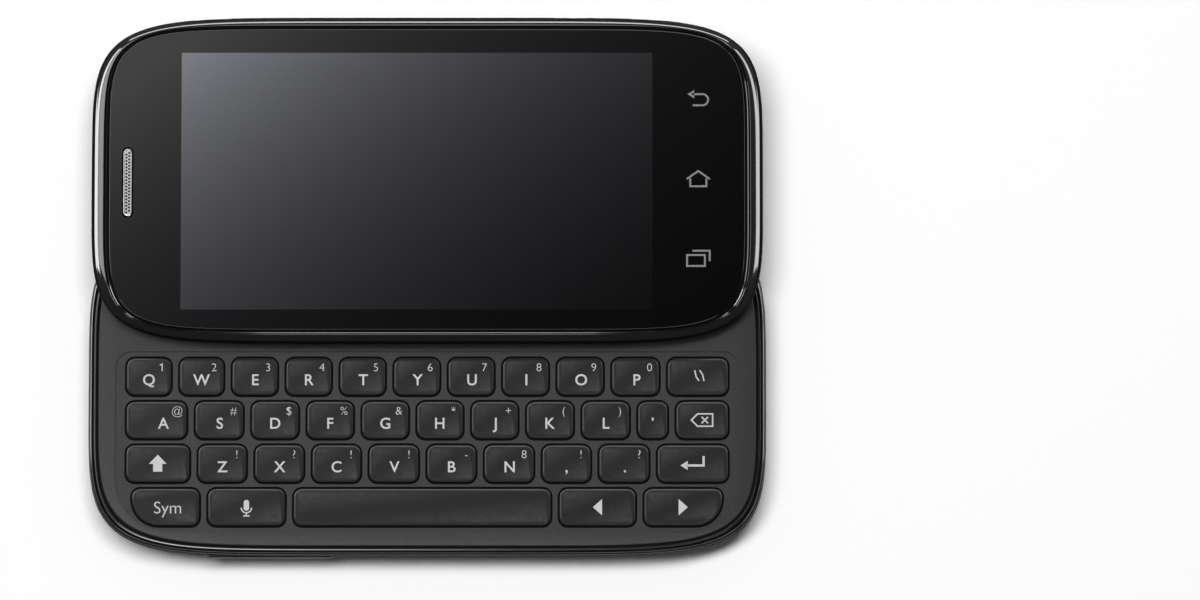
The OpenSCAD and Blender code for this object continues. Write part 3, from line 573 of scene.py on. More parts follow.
def corner_outline(low, high, radii, steps=10):
    """Points of a rectangle whose corners have radii of their own, from the upper right one round."""
    points = []
    for quarter_turn, radius in enumerate(radii):
        x = high[0] - radius if quarter_turn in (0, 3) else low[0] + radius
        y = high[1] - radius if quarter_turn < 2 else low[1] + radius
        points += arc((x, y), radius, 90 * quarter_turn, 90 * quarter_turn + 90, steps)
    return points


def key_corners(name):
    """Corner radii of a key: the two that fill the lower corners of the well have a large one."""
    lower_left = END_CORNER if name == "symbol" else KEY_CORNER
    lower_right = END_CORNER if name == "right" else KEY_CORNER
    return (KEY_CORNER, KEY_CORNER, lower_left, lower_right)


def key_span(name):
    """Lowest and highest corner of a key's cap, without its flange, in millimetres."""
    low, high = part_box("key_" + name)
    return ((low[0] / MM + KEY_FLANGE, low[1] / MM + KEY_FLANGE, low[2] / MM),
            (high[0] / MM - KEY_FLANGE, high[1] / MM - KEY_FLANGE, high[2] / MM))


def key_outline(name, inset):
    """The outline of a key's cap drawn in by an inset, in millimetres."""
    low, high = key_span(name)
    return corner_outline((low[0] + inset, low[1] + inset), (high[0] - inset, high[1] - inset),
                          [radius - inset for radius in key_corners(name)])


face_profile = (
    [(0.0, FACE_UNDER), (0.0, FACE_TOP - 0.42)]
    + quarter((0.0, FACE_TOP - 0.3), (0.3, FACE_TOP - 0.15), 4)
    + below(FACE_TOP, ((0.9, 0.1), (1.7, 0.05), (2.6, 0.015), (3.4, 0.0)))
)
bm = bmesh.new()
loft(bm, soft_rings(bm, FACE_HALF, BODY_POWER, face_profile))
faceplate = add_piece("faceplate_plate", bm, satin, painted_shade_black)
cutters = bmesh.new()
well = corner_outline((-WELL["x"], WELL["bottom"]), (WELL["x"], WELL["top"]),
                      (WELL["upper"],) * 2 + (WELL["lower"],) * 2)
add_prism(cutters, well, WELL["floor"], FACE_TOP + 1)
cut_out(faceplate, cutters)
for row in KEY_ROWS:
    cutters = bmesh.new()
    for name in row:
        add_prism(cutters, key_outline(name, -KEY_OPENING), FACE_UNDER - 1, FACE_TOP + 1)
    cut_out(faceplate, cutters)
low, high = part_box("slide_carriage")
cutters = bmesh.new()
add_box(cutters, [a - room for a, room in zip(low, CARRIAGE_ROOM)],
        (high[0] + CARRIAGE_ROOM[0], high[1] + CARRIAGE_ROOM[1], high[2]))
cut_out(faceplate, cutters)
# The openings' walls, the outer edge and the faces below the top take the near-black painted shade.
paint_shade_on_low_faces(faceplate, FACE_TOP - PAINTED_SHADE_DEPTH)
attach(faceplate, "base")
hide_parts("keyboard_faceplate")


# ---------------------------------------------------------------- keys
# Each key is moulded in dark plastic with a soft upper edge, its raised edges lightened partly as wear and
# partly as a painted highlight, and stands on a flange that the faceplate holds down. Its flanks and flange are
# a matte near-black, painted shade in the gap round it. The letters and signs are printed on it in a pale grey.

# Its raised edges are lightened, partly as wear and partly as a painted highlight.
key_plastic = finish("key_plastic", (0.0190, 0.0192, 0.0198), (0.0240, 0.0243, 0.0251), 0.16,
                     grain=(8000.0, 0.000004, 0.25), wear_and_highlight=0.5, rough_spread=0.03, specular=0.3)
key_print = finish("key_print", (0.54, 0.54, 0.55), (0.62, 0.62, 0.63), 0.55, grain=(12000.0, 0.000002, 0.2),
                   specular=0.2)
# Pairs of inset and drop below a key's top: its soft edge, and two flat rings that keep the top even.
KEY_EDGE = ((0.0, 0.42), (0.015, 0.3), (0.05, 0.19), (0.1, 0.12), (0.14, 0.095), (0.36, 0.018),
            (0.42, 0.003), (0.46, 0.0), (0.54, 0.0))
HOMING_BAR = {"half": (0.8, 0.11), "rise": 0.05, "from_edge": 0.95}
PRINT_LIFT = 0.004
PRINT_THICKNESS = 0.012
LETTER_HEIGHT = 2.04
LETTER_WEIGHT = 0.012
SIGN_HEIGHT = 1.42
SIGN_WEIGHT = -0.014
WORD = {"text": "Sym", "height": 2.15, "shift": (0.4, -0.1), "weight": -0.008}
LETTERS_FROM_RIGHT = (4.1, 4.3, 4.45, 0.0)
SIGN_FROM_RIGHT = 1.76
LETTER_DROP = 0.56
SIGN_FROM_TOP = 1.775
SIGNS = {
    "q": "1", "w": "2", "e": "3", "r": "4", "t": "5", "y": "6", "u": "7", "i": "8", "o": "9", "p": "0",
    "a": "@", "s": "#", "d": "$", "f": "%", "g": "&", "h": "*", "j": "+", "k": "(", "l": ")",
    "z": "!", "x": "?", "c": "!", "v": "!", "b": "-", "n": "8", "comma": "!", "period": "?",
}


def printed_text(words, height, middle, top, weight):
    """Flat printed words as a mesh, their capitals a given height, in millimetres."""
    def flat_mesh(body):
        curve = bpy.data.curves.new("print", "FONT")
        curve.body = body
        curve.align_x = "CENTER"
        curve.resolution_u = 6
        curve.extrude = 0.5
        curve.offset = weight
        holder = bpy.data.objects.new("print", curve)
        bpy.context.scene.collection.objects.link(holder)
        bpy.context.view_layer.update()
        mesh = bpy.data.meshes.new_from_object(holder.evaluated_get(bpy.context.evaluated_depsgraph_get()))
        bpy.data.objects.remove(holder)
        bpy.data.curves.remove(curve)
        return mesh
    measure = flat_mesh("E")
    scale = height / (max(v.co.y for v in measure.vertices) - min(v.co.y for v in measure.vertices))
    bpy.data.meshes.remove(measure)
    mesh = flat_mesh(words)
    xs = [v.co.x for v in mesh.vertices]
    shift = (min(xs) + max(xs)) / 2
    base = middle[1] - height / 2
    for vert in mesh.vertices:
        x, y, z = vert.co
        vert.co = ((middle[0] + (x - shift) * scale) * MM, (base + y * scale) * MM,
                   (top + PRINT_LIFT + (z + 0.5) * PRINT_THICKNESS) * MM)
    return mesh


def printed_shape(bm, points, top):
    """A filled printed shape from its corner points, in millimetres."""
    area = sum(points[i - 1][0] * points[i][1] - points[i][0] * points[i - 1][1] for i in range(len(points)))
    add_prism(bm, points if area > 0 else points[::-1], top + PRINT_LIFT, top + PRINT_LIFT + PRINT_THICKNESS)


def printed_line(bm, points, width, top, closed=False):
    """A printed line of even width with mitred bends through the points, in millimetres."""
    count = len(points)
    left, right = [], []
    for i, (x, y) in enumerate(points):
        before = points[i - 1] if closed or i else (2 * x - points[1][0], 2 * y - points[1][1])
        after = points[(i + 1) % count] if closed or i < count - 1 else (2 * x - before[0], 2 * y - before[1])
        a = Vector((x - before[0], y - before[1])).normalized()
        b = Vector((after[0] - x, after[1] - y)).normalized()
        mean = (a + b).normalized()
        normal = Vector((-mean.y, mean.x)) / max(0.35, math.sqrt((1 + a.dot(b)) / 2)) * width / 2
        left.append((x + normal.x, y + normal.y))
        right.append((x - normal.x, y - normal.y))
    for i in range(count if closed else count - 1):
        j = (i + 1) % count
        printed_shape(bm, (left[i], left[j], right[j], right[i]), top)


def printed_sign(bm, name, x, y, top):
    """Draws the picture signs of the keys that carry no letter."""
    if name == "shift":
        printed_shape(bm, [(x, y + 1.65), (x - 1.65, y - 0.05), (x - 0.85, y - 0.05), (x - 0.85, y - 1.5),
                           (x + 0.85, y - 1.5), (x + 0.85, y - 0.05), (x + 1.65, y - 0.05)], top)
    elif name == "left":
        printed_shape(bm, [(x - 0.85, y), (x + 0.85, y - 1.5), (x + 0.85, y + 1.5)], top)
    elif name == "right":
        printed_shape(bm, [(x + 0.85, y), (x - 0.85, y + 1.5), (x - 0.85, y - 1.5)], top)
    elif name == "enter":
        printed_line(bm, [(x + 2.0, y + 1.4), (x + 2.0, y - 0.35), (x - 1.2, y - 0.35)], 0.42, top)
        printed_shape(bm, [(x - 2.3, y - 0.35), (x - 0.95, y - 1.2), (x - 0.95, y + 0.5)], top)
    elif name == "backspace":
        printed_line(bm, [(x - 2.0, y), (x - 0.85, y + 1.15), (x + 1.95, y + 1.15), (x + 1.95, y - 1.15),
                          (x - 0.85, y - 1.15)], 0.27, top, closed=True)
        printed_line(bm, [(x - 0.1, y + 0.6), (x + 1.1, y - 0.6)], 0.27, top)
        printed_line(bm, [(x - 0.1, y - 0.6), (x + 1.1, y + 0.6)], 0.27, top)
    elif name == "voice":
        printed_shape(bm, arc((x, y + 0.85), 0.5, 0, 180, 12) + arc((x, y - 0.15), 0.5, 180, 360, 12), top)
        printed_line(bm, arc((x, y - 0.1), 0.95, 180, 360, 16), 0.24, top)
        printed_line(bm, [(x, y - 1.05), (x, y - 1.55)], 0.24, top)
        printed_line(bm, [(x - 0.6, y - 1.62), (x + 0.6, y - 1.62)], 0.24, top)
    elif name == "backslash":
        printed_line(bm, [(x - 0.57, y + 1.19), (x - 0.32, y - 0.01), (x + 0.23, y - 0.81)], 0.24, top)
        printed_line(bm, [(x + 0.33, y + 1.19), (x + 0.88, y + 0.39), (x + 1.13, y - 0.81)], 0.24, top)
    elif name == "quote":
        printed_line(bm, [(x, y + 0.45), (x, y - 0.1)], 0.34, top)


def key_prints(name, low, high, letter_x):
    """All that is printed on one key, as one bmesh."""
    bm = bmesh.new()
    top = high[2]
    middle = ((low[0] + high[0]) / 2, (low[1] + high[1]) / 2)
    texts = []
    letter = name.upper() if len(name) == 1 else {"comma": ",", "period": "."}.get(name)
    if letter:
        texts.append((letter, LETTER_HEIGHT, (letter_x, middle[1] - LETTER_DROP), LETTER_WEIGHT))
    elif name == "symbol":
        place = (middle[0] + WORD["shift"][0], middle[1] + WORD["shift"][1])
        texts.append((WORD["text"], WORD["height"], place, WORD["weight"]))
    if name in SIGNS:
        if name == "q":
            x, y = high[0] - SIGN_FROM_RIGHT + 0.1, high[1] - SIGN_FROM_TOP
            printed_line(bm, [(x - 0.42, y + 0.42), (x, y + 0.66), (x, y - 0.71)], 0.19, top)
        else:
            place = (high[0] - SIGN_FROM_RIGHT, high[1] - SIGN_FROM_TOP)
            texts.append((SIGNS[name], SIGN_HEIGHT, place, SIGN_WEIGHT))
    for words, height, place, weight in texts:
        mesh = printed_text(words, height, place, top, weight)
        bm.from_mesh(mesh)
        bpy.data.meshes.remove(mesh)
    printed_sign(bm, name, *middle, top)
    return bm


for row, letter_from_right in zip(KEY_ROWS, LETTERS_FROM_RIGHT):
    for name in row:
        node = "key_" + name
        low, high = key_span(name)
        letter_x = high[0] - letter_from_right
        bm = bmesh.new()
        flange_top = low[2] + FLANGE_THICKNESS / MM
        profile = [(-KEY_FLANGE, low[2]), (-KEY_FLANGE, flange_top), (0.0, flange_top)]
        profile += below(high[2], KEY_EDGE)
        loft(bm, [add_ring(bm, key_outline(name, inset), height) for inset, height in profile])
        if name == "f":
            add_prism(bm, slot_outline(*HOMING_BAR["half"], steps=4), high[2] - HOMING_BAR["rise"],
                      high[2] + HOMING_BAR["rise"], (letter_x, low[1] + HOMING_BAR["from_edge"]))
        cap_piece = add_piece(node + "_cap", bm, key_plastic, painted_shade_black)
        # The key's flanks and its flange take the near-black painted shade of the gap round it.
        paint_shade_on_low_faces(cap_piece, high[2] - PAINTED_SHADE_DEPTH)
        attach(cap_piece, node)
        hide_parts(node)
        if name != "space":
            prints = add_piece(node + "_print", key_prints(name, low, high, letter_x), key_print)
            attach(prints, node)


# ---------------------------------------------------------------- back shell of the display half
# A matte graphite tray with a soft lower edge. Two channels in its underside take the steel rods that
# the display half slides on.

BACK_LOW, BACK_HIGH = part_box("display_back")
BEZEL_LOW, BEZEL_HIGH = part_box("display_bezel")
DISPLAY_HALF = ((BEZEL_HIGH[0] - BEZEL_LOW[0]) / 2 / MM, (BEZEL_HIGH[1] - BEZEL_LOW[1]) / 2 / MM)
DISPLAY_Y = (BEZEL_HIGH[1] + BEZEL_LOW[1]) / 2 / MM
DISPLAY_MIDDLE = (0, DISPLAY_Y)
BACK_BOTTOM = BACK_LOW[2] / MM
BACK_RIM = BEZEL_LOW[2] / MM - 0.1
RAISED_INSET = (6, 5)
ROD_RADIUS = 0.6
ROD_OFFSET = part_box("guide_rods")[1][0] / MM - ROD_RADIUS
CHANNEL = {"half": (2.5, 28.3), "radius": 0.6, "top": 10.4}

back_profile = quarter((1.5, BACK_BOTTOM), (0.1, BACK_RIM - 0.2), 8, rises_first=False) + [(0.1, BACK_RIM)]
bm = bmesh.new()
raised = soft_outline(DISPLAY_HALF[0] - RAISED_INSET[0], DISPLAY_HALF[1] - RAISED_INSET[1], BODY_POWER)
loft(bm, soft_rings(bm, DISPLAY_HALF, BODY_POWER, back_profile, DISPLAY_MIDDLE)
     + [add_ring(bm, raised, height, DISPLAY_MIDDLE) for height in (BACK_RIM, BACK_HIGH[2] / MM)])
back_shell = add_piece("display_back_shell", bm, graphite)
cutters = bmesh.new()
for side in (-1, 1):
    add_prism(cutters, rounded_outline(*CHANNEL["half"], CHANNEL["radius"], 4), BACK_BOTTOM - 1,
              CHANNEL["top"], (side * ROD_OFFSET, DISPLAY_Y))
cut_out(back_shell, cutters)
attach(back_shell, "display")
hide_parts("display_back")


# ---------------------------------------------------------------- rim of the display half
# A polished black rim carries the glass; its flanks and the bottoms of its grooves are a matte near-black,
# painted shade. It slopes up to a groove with a fine line in it beside the glass. Three shallow finger reliefs
# are cut into its upper edge.

GLASS_LOW, GLASS_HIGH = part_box("front_glass")
GLASS_HALF = ((GLASS_HIGH[0] - GLASS_LOW[0]) / 2 / MM, (GLASS_HIGH[1] - GLASS_LOW[1]) / 2 / MM)
GLASS_POWER = (9, 6)
GLASS_TOP = GLASS_HIGH[2] / MM
GLASS_BOTTOM = GLASS_LOW[2] / MM
BEZEL_BOTTOM = BEZEL_LOW[2] / MM
BEZEL_TOP = BEZEL_HIGH[2] / MM
FINGER_RELIEFS = ((-40.0, 7.2), (26.8, 6.6), (40.4, 5.4))
RELIEF_DEPTH = 0.4
RELIEF_DROP = 1.6
RELIEF_STEPS = 12
FACET_STEPS = 10
GLASS_SEAT = GLASS_BOTTOM - 0.03
LEDGE_INSET = 1.2


def rim_outline(share):
    """The outline at a share of the way from the outside of the half (0) to the glass (1)."""
    outside = soft_outline(*DISPLAY_HALF, BODY_POWER)
    inside = soft_outline(GLASS_HALF[0] + 0.04, GLASS_HALF[1] + 0.04, GLASS_POWER)
    return [((1 - share) * x0 + share * x1, (1 - share) * y0 + share * y1)
            for (x0, y0), (x1, y1) in zip(outside, inside)]


def facet_point(u):
    """A point of the rim's gently domed facet at a share of its width, as a pair of share and height."""
    return 0.215 + 0.485 * u, BEZEL_TOP - 0.57 + 0.56 * (1.35 * u - 0.35 * u * u)


rim_profile = (
    [(0.04, BEZEL_BOTTOM), (0.01, BEZEL_BOTTOM + 0.3), (0.0, BEZEL_BOTTOM + 0.5)]
    + below(BEZEL_TOP, ((0.0, 1.3), (0.02, 1.1), (0.09, 0.83), (0.165, 0.63)))
    + [facet_point(step / FACET_STEPS) for step in range(FACET_STEPS + 1)]
    + below(BEZEL_TOP, ((0.715, 0.0), (0.73, 0.02), (0.74, 0.65), (0.835, 0.65)))
    + below(BEZEL_TOP, ((0.842, 0.1), (0.89, 0.164), (0.895, 0.65), (1.0, 0.65)))
    + [(1.0, GLASS_SEAT)]
)
bm = bmesh.new()
ledge = soft_outline(GLASS_HALF[0] - LEDGE_INSET, GLASS_HALF[1] - LEDGE_INSET, GLASS_POWER)
loft(bm, [add_ring(bm, rim_outline(share), height, DISPLAY_MIDDLE) for share, height in rim_profile]
     + [add_ring(bm, ledge, height, DISPLAY_MIDDLE) for height in (GLASS_SEAT, BEZEL_BOTTOM)], hoop=True)
bezel = add_piece("display_rim", bm, gloss_black, painted_shade_black, flat=False)
cutters = bmesh.new()
for middle, length in FINGER_RELIEFS:
    hollow = []
    for step in range(2 * RELIEF_STEPS + 1):
        u = step / RELIEF_STEPS - 1
        x = middle + u * length / 2
        share = (1 - abs(x / DISPLAY_HALF[0]) ** BODY_POWER[0]) ** (1 / BODY_POWER[1])
        edge = DISPLAY_Y + DISPLAY_HALF[1] * share
        hollow.append((x, edge - RELIEF_DEPTH * (1 - u * u)))
    hollow += [(middle + length / 2, edge + 3), (middle - length / 2, edge + 3)]
    add_prism(cutters, hollow, BEZEL_TOP - RELIEF_DROP, BEZEL_TOP + 1)
cut_out(bezel, cutters)
# The flanks, the deep groove bottoms and the ledge take the near-black painted shade.
paint_shade_on_low_faces(bezel, BEZEL_TOP - PAINTED_SHADE_DEPTH)
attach(bezel, "display")
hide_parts("display_bezel")


# ---------------------------------------------------------------- front glass
# One sheet of glass with a softened edge, printed black from behind except for the window over the
# display. The switched-off display shows there as a paler grey that mirrors the card overhead.

GLASS_EDGE = 0.3
LIT_AREA = {"middle": (-1.93, DISPLAY_Y - 0.3), "half": (43.75, 24.0)}
EARPIECE = {"middle": (-55.6, DISPLAY_Y - 0.6), "half": (1.06, 6.62)}


def window_mask(nodes, links, middle, half):
    """A mask that is 1 inside a rectangle of the glass and 0 outside."""
    place, split = nodes.new("ShaderNodeTexCoord"), nodes.new("ShaderNodeSeparateXYZ")
    links.new(place.outputs["Object"], split.inputs["Vector"])
    sides = []
    for axis in (0, 1):
        inside = nodes.new("ShaderNodeMath")
        inside.operation = "COMPARE"
        inside.inputs[1].default_value = middle[axis] * MM
        inside.inputs[2].default_value = half[axis] * MM
        links.new(split.outputs[axis], inside.inputs[0])
        sides.append(inside)
    both = nodes.new("ShaderNodeMath")
    both.operation = "MULTIPLY"
    links.new(sides[0].outputs["Value"], both.inputs[0])
    links.new(sides[1].outputs["Value"], both.inputs[1])
    return both.outputs["Value"]


def screen_glass():
    """Glossy glass over black print, with the display's paler grey in its window."""
    material = bpy.data.materials.new("screen_glass")
    nodes, links = node_parts(material)
    shader = nodes["Principled BSDF"]
    mask = window_mask(nodes, links, LIT_AREA["middle"], LIT_AREA["half"])
    fine = grain_node(nodes, (3000, 0.000001, 0.05))
    tint = colour_ramp(nodes, ((0.160, 0.163, 0.180), (0.172, 0.175, 0.192)))
    colour = nodes.new("ShaderNodeMix")
    colour.data_type = "RGBA"
    colour.inputs["A"].default_value = (0.0025, 0.0025, 0.003, 1)
    metal, rough = nodes.new("ShaderNodeMapRange"), nodes.new("ShaderNodeMapRange")
    rough.inputs["To Min"].default_value = 0.03
    rough.inputs["To Max"].default_value = 0.04
    links.new(fine.outputs["Mask"], tint.inputs["Fac"])
    links.new(tint.outputs["Color"], colour.inputs["B"])
    links.new(mask, colour.inputs["Factor"])
    links.new(mask, metal.inputs["Value"])
    links.new(mask, rough.inputs["Value"])
    links.new(colour.outputs["Result"], shader.inputs["Base Color"])
    links.new(metal.outputs["Result"], shader.inputs["Metallic"])
    links.new(rough.outputs["Result"], shader.inputs["Roughness"])
    links.new(fine.outputs["Normal"], shader.inputs["Normal"])
    return material


glass_profile = [(0.0, GLASS_BOTTOM)] + quarter((0.0, GLASS_TOP - GLASS_EDGE), (GLASS_EDGE, GLASS_TOP), 5)
bm = bmesh.new()
loft(bm, soft_rings(bm, GLASS_HALF, GLASS_POWER, glass_profile, DISPLAY_MIDDLE))
glass = add_piece("front_glass_sheet", bm, screen_glass())
cutters = bmesh.new()
add_prism(cutters, slot_outline(*EARPIECE["half"]), GLASS_BOTTOM - 1, GLASS_TOP + 1, EARPIECE["middle"])
cut_out(glass, cutters)
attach(glass, "display")
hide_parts("front_glass")


# ---------------------------------------------------------------- touch signs
# Three plain line signs beside the display, printed in grey under the glass: go back, home and the
# open pages.

sign_print = finish("touch_sign_print", (0.20, 0.20, 0.21), (0.24, 0.24, 0.25), 0.5,
                    grain=(9000.0, 0.000002, 0.2), specular=0.2)
SIGN_X = 50.35
SIGN_LINE = 0.34

bm = bmesh.new()
y = DISPLAY_Y + 15.2
bend = arc((SIGN_X + 0.8, y - 0.3), 1.05, 90, -90, 12)[1:]
printed_line(bm, [(SIGN_X - 1.2, y + 0.75), (SIGN_X + 0.8, y + 0.75)] + bend + [(SIGN_X - 1.0, y - 1.35)],
             SIGN_LINE, GLASS_TOP)
printed_shape(bm, [(SIGN_X - 2.0, y + 0.75), (SIGN_X - 0.75, y - 0.05), (SIGN_X - 0.75, y + 1.55)], GLASS_TOP)
y = DISPLAY_Y + 0.05
printed_line(bm, [(SIGN_X - 1.5, y + 0.1), (SIGN_X - 1.5, y - 1.35), (SIGN_X + 1.5, y - 1.35),
                  (SIGN_X + 1.5, y + 0.1)], SIGN_LINE, GLASS_TOP)
printed_line(bm, [(SIGN_X - 2.15, y), (SIGN_X, y + 1.5), (SIGN_X + 2.15, y)], SIGN_LINE, GLASS_TOP)
y = DISPLAY_Y - 14.8
printed_line(bm, [(SIGN_X - 2.1, y + 0.65), (SIGN_X + 1.2, y + 0.65), (SIGN_X + 1.2, y - 1.4),
                  (SIGN_X - 2.1, y - 1.4)], SIGN_LINE, GLASS_TOP, closed=True)
printed_line(bm, [(SIGN_X - 1.1, y + 1.45), (SIGN_X + 2.1, y + 1.45), (SIGN_X + 2.1, y - 0.5)],
             SIGN_LINE, GLASS_TOP)
touch_signs = add_piece("touch_signs", bm, sign_print)
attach(touch_signs, "display")


# ---------------------------------------------------------------- earpiece grille
# A bright metal strip with two staggered columns of punched holes lies in a slot of the glass, over a
# black felt seat.

grille_metal = finish("grille_metal", (0.62, 0.625, 0.63), (0.72, 0.725, 0.73), 0.15,
                      grain=(5000.0, 0.000002, 0.15), metallic=1.0)
felt_black = finish("felt_black", (0.003, 0.003, 0.003), (0.006, 0.006, 0.006), 0.8,
                    grain=(9000.0, 0.00002, 0.5), specular=0.1)
GRILLE_LOW, GRILLE_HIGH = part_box("earpiece_grille")
GRILLE_TOP = GRILLE_HIGH[2] / MM
GRILLE_BOTTOM = GRILLE_LOW[2] / MM
STRIP_STRAIGHT = 5.5
FELT = {"half": (1.03, 6.59), "thickness": 0.1}
HOLE = {"radius": 0.205, "pitch": 0.6, "column": 0.25, "stagger": 0.25, "rows": 19}

strip_profile = [(0.8, GRILLE_BOTTOM + 0.12)] + below(
    GRILLE_TOP, ((0.8, 0.08), (0.77, 0.02), (0.71, 0.0), (0.6, 0.01), (0.55, 0.08)))
bm = bmesh.new()
loft(bm, [add_ring(bm, slot_outline(half, STRIP_STRAIGHT + half), height, EARPIECE["middle"])
          for half, height in strip_profile])
grille = add_piece("earpiece_strip", bm, grille_metal)
cutters = bmesh.new()
for column in (-1, 1):
    for row in range(HOLE["rows"]):
        x = EARPIECE["middle"][0] + column * HOLE["column"]
        y = EARPIECE["middle"][1] + (row - (HOLE["rows"] - 1) / 2 + column * HOLE["stagger"]) * HOLE["pitch"]
        add_rod(cutters, (x, y, GRILLE_TOP), HOLE["radius"], 3, 14)
cut_out(grille, cutters)
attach(grille, "display")
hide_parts("earpiece_grille")

bm = bmesh.new()
add_prism(bm, slot_outline(*FELT["half"]), GRILLE_BOTTOM, GRILLE_BOTTOM + FELT["thickness"],
          EARPIECE["middle"])
felt = add_piece("earpiece_seat", bm, felt_black)
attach(felt, "display")


# ---------------------------------------------------------------- metal parts, sockets and inner pieces
# These pieces keep the solids of the frame and only get their materials: brushed steel for the slide, the
# screws and the charging socket, and plastic, rubber, varnish and wrap for the others.

# Each row: a material's name, dark and light colour, roughness, grain and other values, and its pieces.
PLAIN_PIECES = (
    ("brushed_steel", (0.42, 0.43, 0.45), (0.58, 0.59, 0.61), 0.32, (3000.0, 0.000006, 0.3),
     {"metallic": 1.0}, ("slide_carriage", "guide_rods", "usb_socket", "base_screws")),
    ("side_key_gloss", (0.006, 0.006, 0.007), (0.012, 0.012, 0.014), 0.2, (3000.0, 0.000002, 0.15),
     {"gloss": 0.5}, ("power_key", "camera_key", "volume_rocker")),
    ("black_moulding", (0.008, 0.008, 0.009), (0.018, 0.018, 0.020), 0.5, (4000.0, 0.00001, 0.3),
     {}, ("headphone_socket", "camera_module", "loudspeaker")),
    ("mat_rubber", (0.20, 0.21, 0.22), (0.30, 0.31, 0.32), 0.75, (2500.0, 0.00002, 0.4),
     {}, ("keypad_mat",)),
    ("board_green", (0.008, 0.060, 0.028), (0.02, 0.12, 0.06), 0.4, (1800.0, 0.00001, 0.2),
     {"gloss": 0.3}, ("main_board",)),
    ("cell_wrap", (0.05, 0.055, 0.062), (0.09, 0.095, 0.105), 0.38, (1500.0, 0.00001, 0.2),
     {"metallic": 0.3}, ("battery",)),
    ("panel_grey", (0.02, 0.021, 0.024), (0.03, 0.031, 0.035), 0.25, (4000.0, 0.000002, 0.1),
     {"gloss": 0.5}, ("display_panel",)),
)

for name, dark, light, roughness, grain, others, node_names in PLAIN_PIECES:
    material = finish(name, dark, light, roughness, grain=grain, **others)
    for node in node_names:
        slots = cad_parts[node].material_slots
        if not slots:
            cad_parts[node].data.materials.append(material)
        for slot in slots:
            slot.material = material


# ---------------------------------------------------------------- floor, light and camera
# The phone lies on a matte white floor. One wide box overhead lights it and is hidden from gloss. Strips
# and cards round it show only in gloss, and a graded card overhead is what the display's glass mirrors.

CAMERA_TARGET = Vector((0.0321, 0.01664, 0.008))
CAMERA_ELEVATION = 84
CAMERA_DISTANCE = 1.35
PIXELS_PER_MM = 5.373
PICTURE_WIDTH = 1200
SENSOR_WIDTH = 36
CARD = {"middle": (-0.05, 0.2, 1.6), "stretch": (0.9, 0.7, 1, 1), "slope": (-11.2, 15.0, 0), "offset": -5.59,
        "brightest": 1.3}

# The floor is pure white to the camera and a little darker to everything else.
floor_material = bpy.data.materials.new("floor_white")
nodes, links = node_parts(floor_material)
camera_ray, floor_white = nodes.new("ShaderNodeLightPath"), nodes.new("ShaderNodeMix")
floor_white.data_type = "RGBA"
floor_white.inputs["A"].default_value = (0.9, 0.9, 0.9, 1)
floor_white.inputs["B"].default_value = (1, 1, 1, 1)
links.new(camera_ray.outputs["Is Camera Ray"], floor_white.inputs["Factor"])
links.new(floor_white.outputs["Result"], nodes["Principled BSDF"].inputs["Base Color"])
nodes["Principled BSDF"].inputs["Roughness"].default_value = 0.9
nodes["Principled BSDF"].inputs["Specular IOR Level"].default_value = 0.1
bm = bmesh.new()
bmesh.ops.create_grid(bm, x_segments=1, y_segments=1, size=6.0)
floor = add_piece("floor", bm, floor_material)


def area_light(name, place, aim, size, power, mirrored=False):
    """A soft box aimed at a point, in metres and watts. A mirrored one shows in gloss but lights nothing."""
    data = bpy.data.lights.new(name, "AREA")
    data.shape = "RECTANGLE"
    data.size, data.size_y = size
    data.energy = power
    light = bpy.data.objects.new(name, data)
    light.location = place
    light.rotation_euler = (Vector(aim) - Vector(place)).to_track_quat("-Z", "Y").to_euler()
    light.visible_diffuse = not mirrored
    light.visible_glossy = mirrored
    bpy.context.scene.collection.objects.link(light)


area_light("key_box", (-0.1, 0.25, 1.5), (0, 0.01, 0), (1.2, 0.34), 22)
area_light("left_strip", (-0.83, 0.42, 0.69), (0, 0.2, 0), (0.8, 0.13), 3.3, True)
area_light("left_card", (-0.64, 0.42, 0.86), (0, 0.2, 0), (0.8, 0.28), 2.3, True)
area_light("right_strip", (0.8, 0.42, 0.74), (0, 0.2, 0), (0.8, 0.16), 2.7, True)
area_light("top_strip", (0.0, 0.97, 0.45), (0, 0.04, 0), (1.2, 0.12), 3.4, True)
area_light("upper_card", (0.0, 0.85, 0.95), (0, 0.04, 0), (1.2, 0.3), 4.0, True)
area_light("front_card", (-0.1, -0.27, 1.5), (0, -0.03, 0), (1.1, 0.14), 3.8, True)

# The overhead card: its light falls off from its upper left to its lower right, as the glass shows it.
card_material = bpy.data.materials.new("graded_card")
nodes, links = node_parts(card_material)
nodes.remove(nodes["Principled BSDF"])
place, fall, bright, top_limit = (nodes.new(kind) for kind in (
    "ShaderNodeTexCoord", "ShaderNodeVectorMath", "ShaderNodeMath", "ShaderNodeMath"))
fall.operation = "DOT_PRODUCT"
fall.inputs[1].default_value = CARD["slope"]
shift = nodes.new("ShaderNodeMath")
shift.operation = "ADD"
shift.inputs[1].default_value = CARD["offset"]
bright.operation = "EXPONENT"
top_limit.operation = "MINIMUM"
top_limit.inputs[1].default_value = CARD["brightest"]
emission = nodes.new("ShaderNodeEmission")
links.new(place.outputs["Object"], fall.inputs[0])
links.new(fall.outputs["Value"], shift.inputs[0])
links.new(shift.outputs["Value"], bright.inputs[0])
links.new(bright.outputs["Value"], top_limit.inputs[0])
links.new(top_limit.outputs["Value"], emission.inputs["Strength"])
links.new(emission.outputs["Emission"], nodes["Material Output"].inputs["Surface"])
bm = bmesh.new()
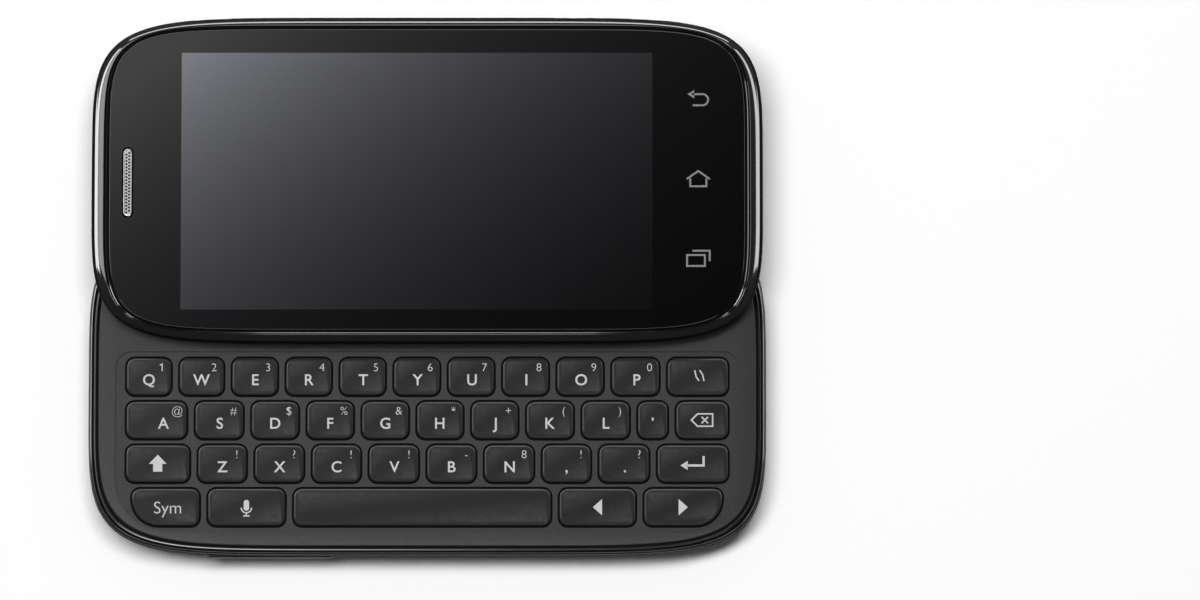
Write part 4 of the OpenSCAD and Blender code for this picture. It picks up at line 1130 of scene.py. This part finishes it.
bmesh.ops.create_grid(bm, x_segments=1, y_segments=1, size=0.5,
                      matrix=Matrix.Translation(CARD["middle"]) @ Matrix.Diagonal(CARD["stretch"]))
card = add_piece("overhead_card", bm, card_material)
card.visible_camera = False

# The background is white to the camera. Gloss sees a dim grey, darkest towards the front and up.
world = bpy.data.worlds.new("studio")
bpy.context.scene.world = world
nodes, links = node_parts(world)
background = nodes["Background"]
direction, front_up = nodes.new("ShaderNodeTexCoord"), nodes.new("ShaderNodeVectorMath")
front_up.operation = "DOT_PRODUCT"
front_up.inputs[1].default_value = (0, -0.7, 0.7)
fade = colour_ramp(nodes, ((0.25, 0.25, 0.25), (0.08, 0.08, 0.08)), (0.1, 0.75))
rays, sky, strength = (nodes.new(kind) for kind in (
    "ShaderNodeLightPath", "ShaderNodeMix", "ShaderNodeMapRange"))
sky.data_type = "RGBA"
sky.inputs["B"].default_value = (1, 1, 1, 1)
strength.inputs["To Min"].default_value = 0.8
strength.inputs["To Max"].default_value = 1.0
links.new(direction.outputs["Generated"], front_up.inputs[0])
links.new(front_up.outputs["Value"], fade.inputs["Fac"])
links.new(rays.outputs["Is Camera Ray"], sky.inputs["Factor"])
links.new(rays.outputs["Is Camera Ray"], strength.inputs["Value"])
links.new(fade.outputs["Color"], sky.inputs["A"])
links.new(sky.outputs["Result"], background.inputs["Color"])
links.new(strength.outputs["Result"], background.inputs["Strength"])

camera_data = bpy.data.cameras.new("camera")
camera_data.sensor_width = SENSOR_WIDTH
camera_data.lens = SENSOR_WIDTH * CAMERA_DISTANCE / (PICTURE_WIDTH / PIXELS_PER_MM * MM)
camera_data.clip_start = 0.05
camera_data.clip_end = 50
camera = bpy.data.objects.new("camera", camera_data)
elevation = math.radians(CAMERA_ELEVATION)
back = Vector((0, -math.cos(elevation), math.sin(elevation)))
camera.location = CAMERA_TARGET + back * CAMERA_DISTANCE
camera.rotation_euler = (-back).to_track_quat("-Z", "Y").to_euler()
bpy.context.scene.collection.objects.link(camera)
bpy.context.scene.camera = camera
bpy.context.scene.view_settings.view_transform = "Standard"
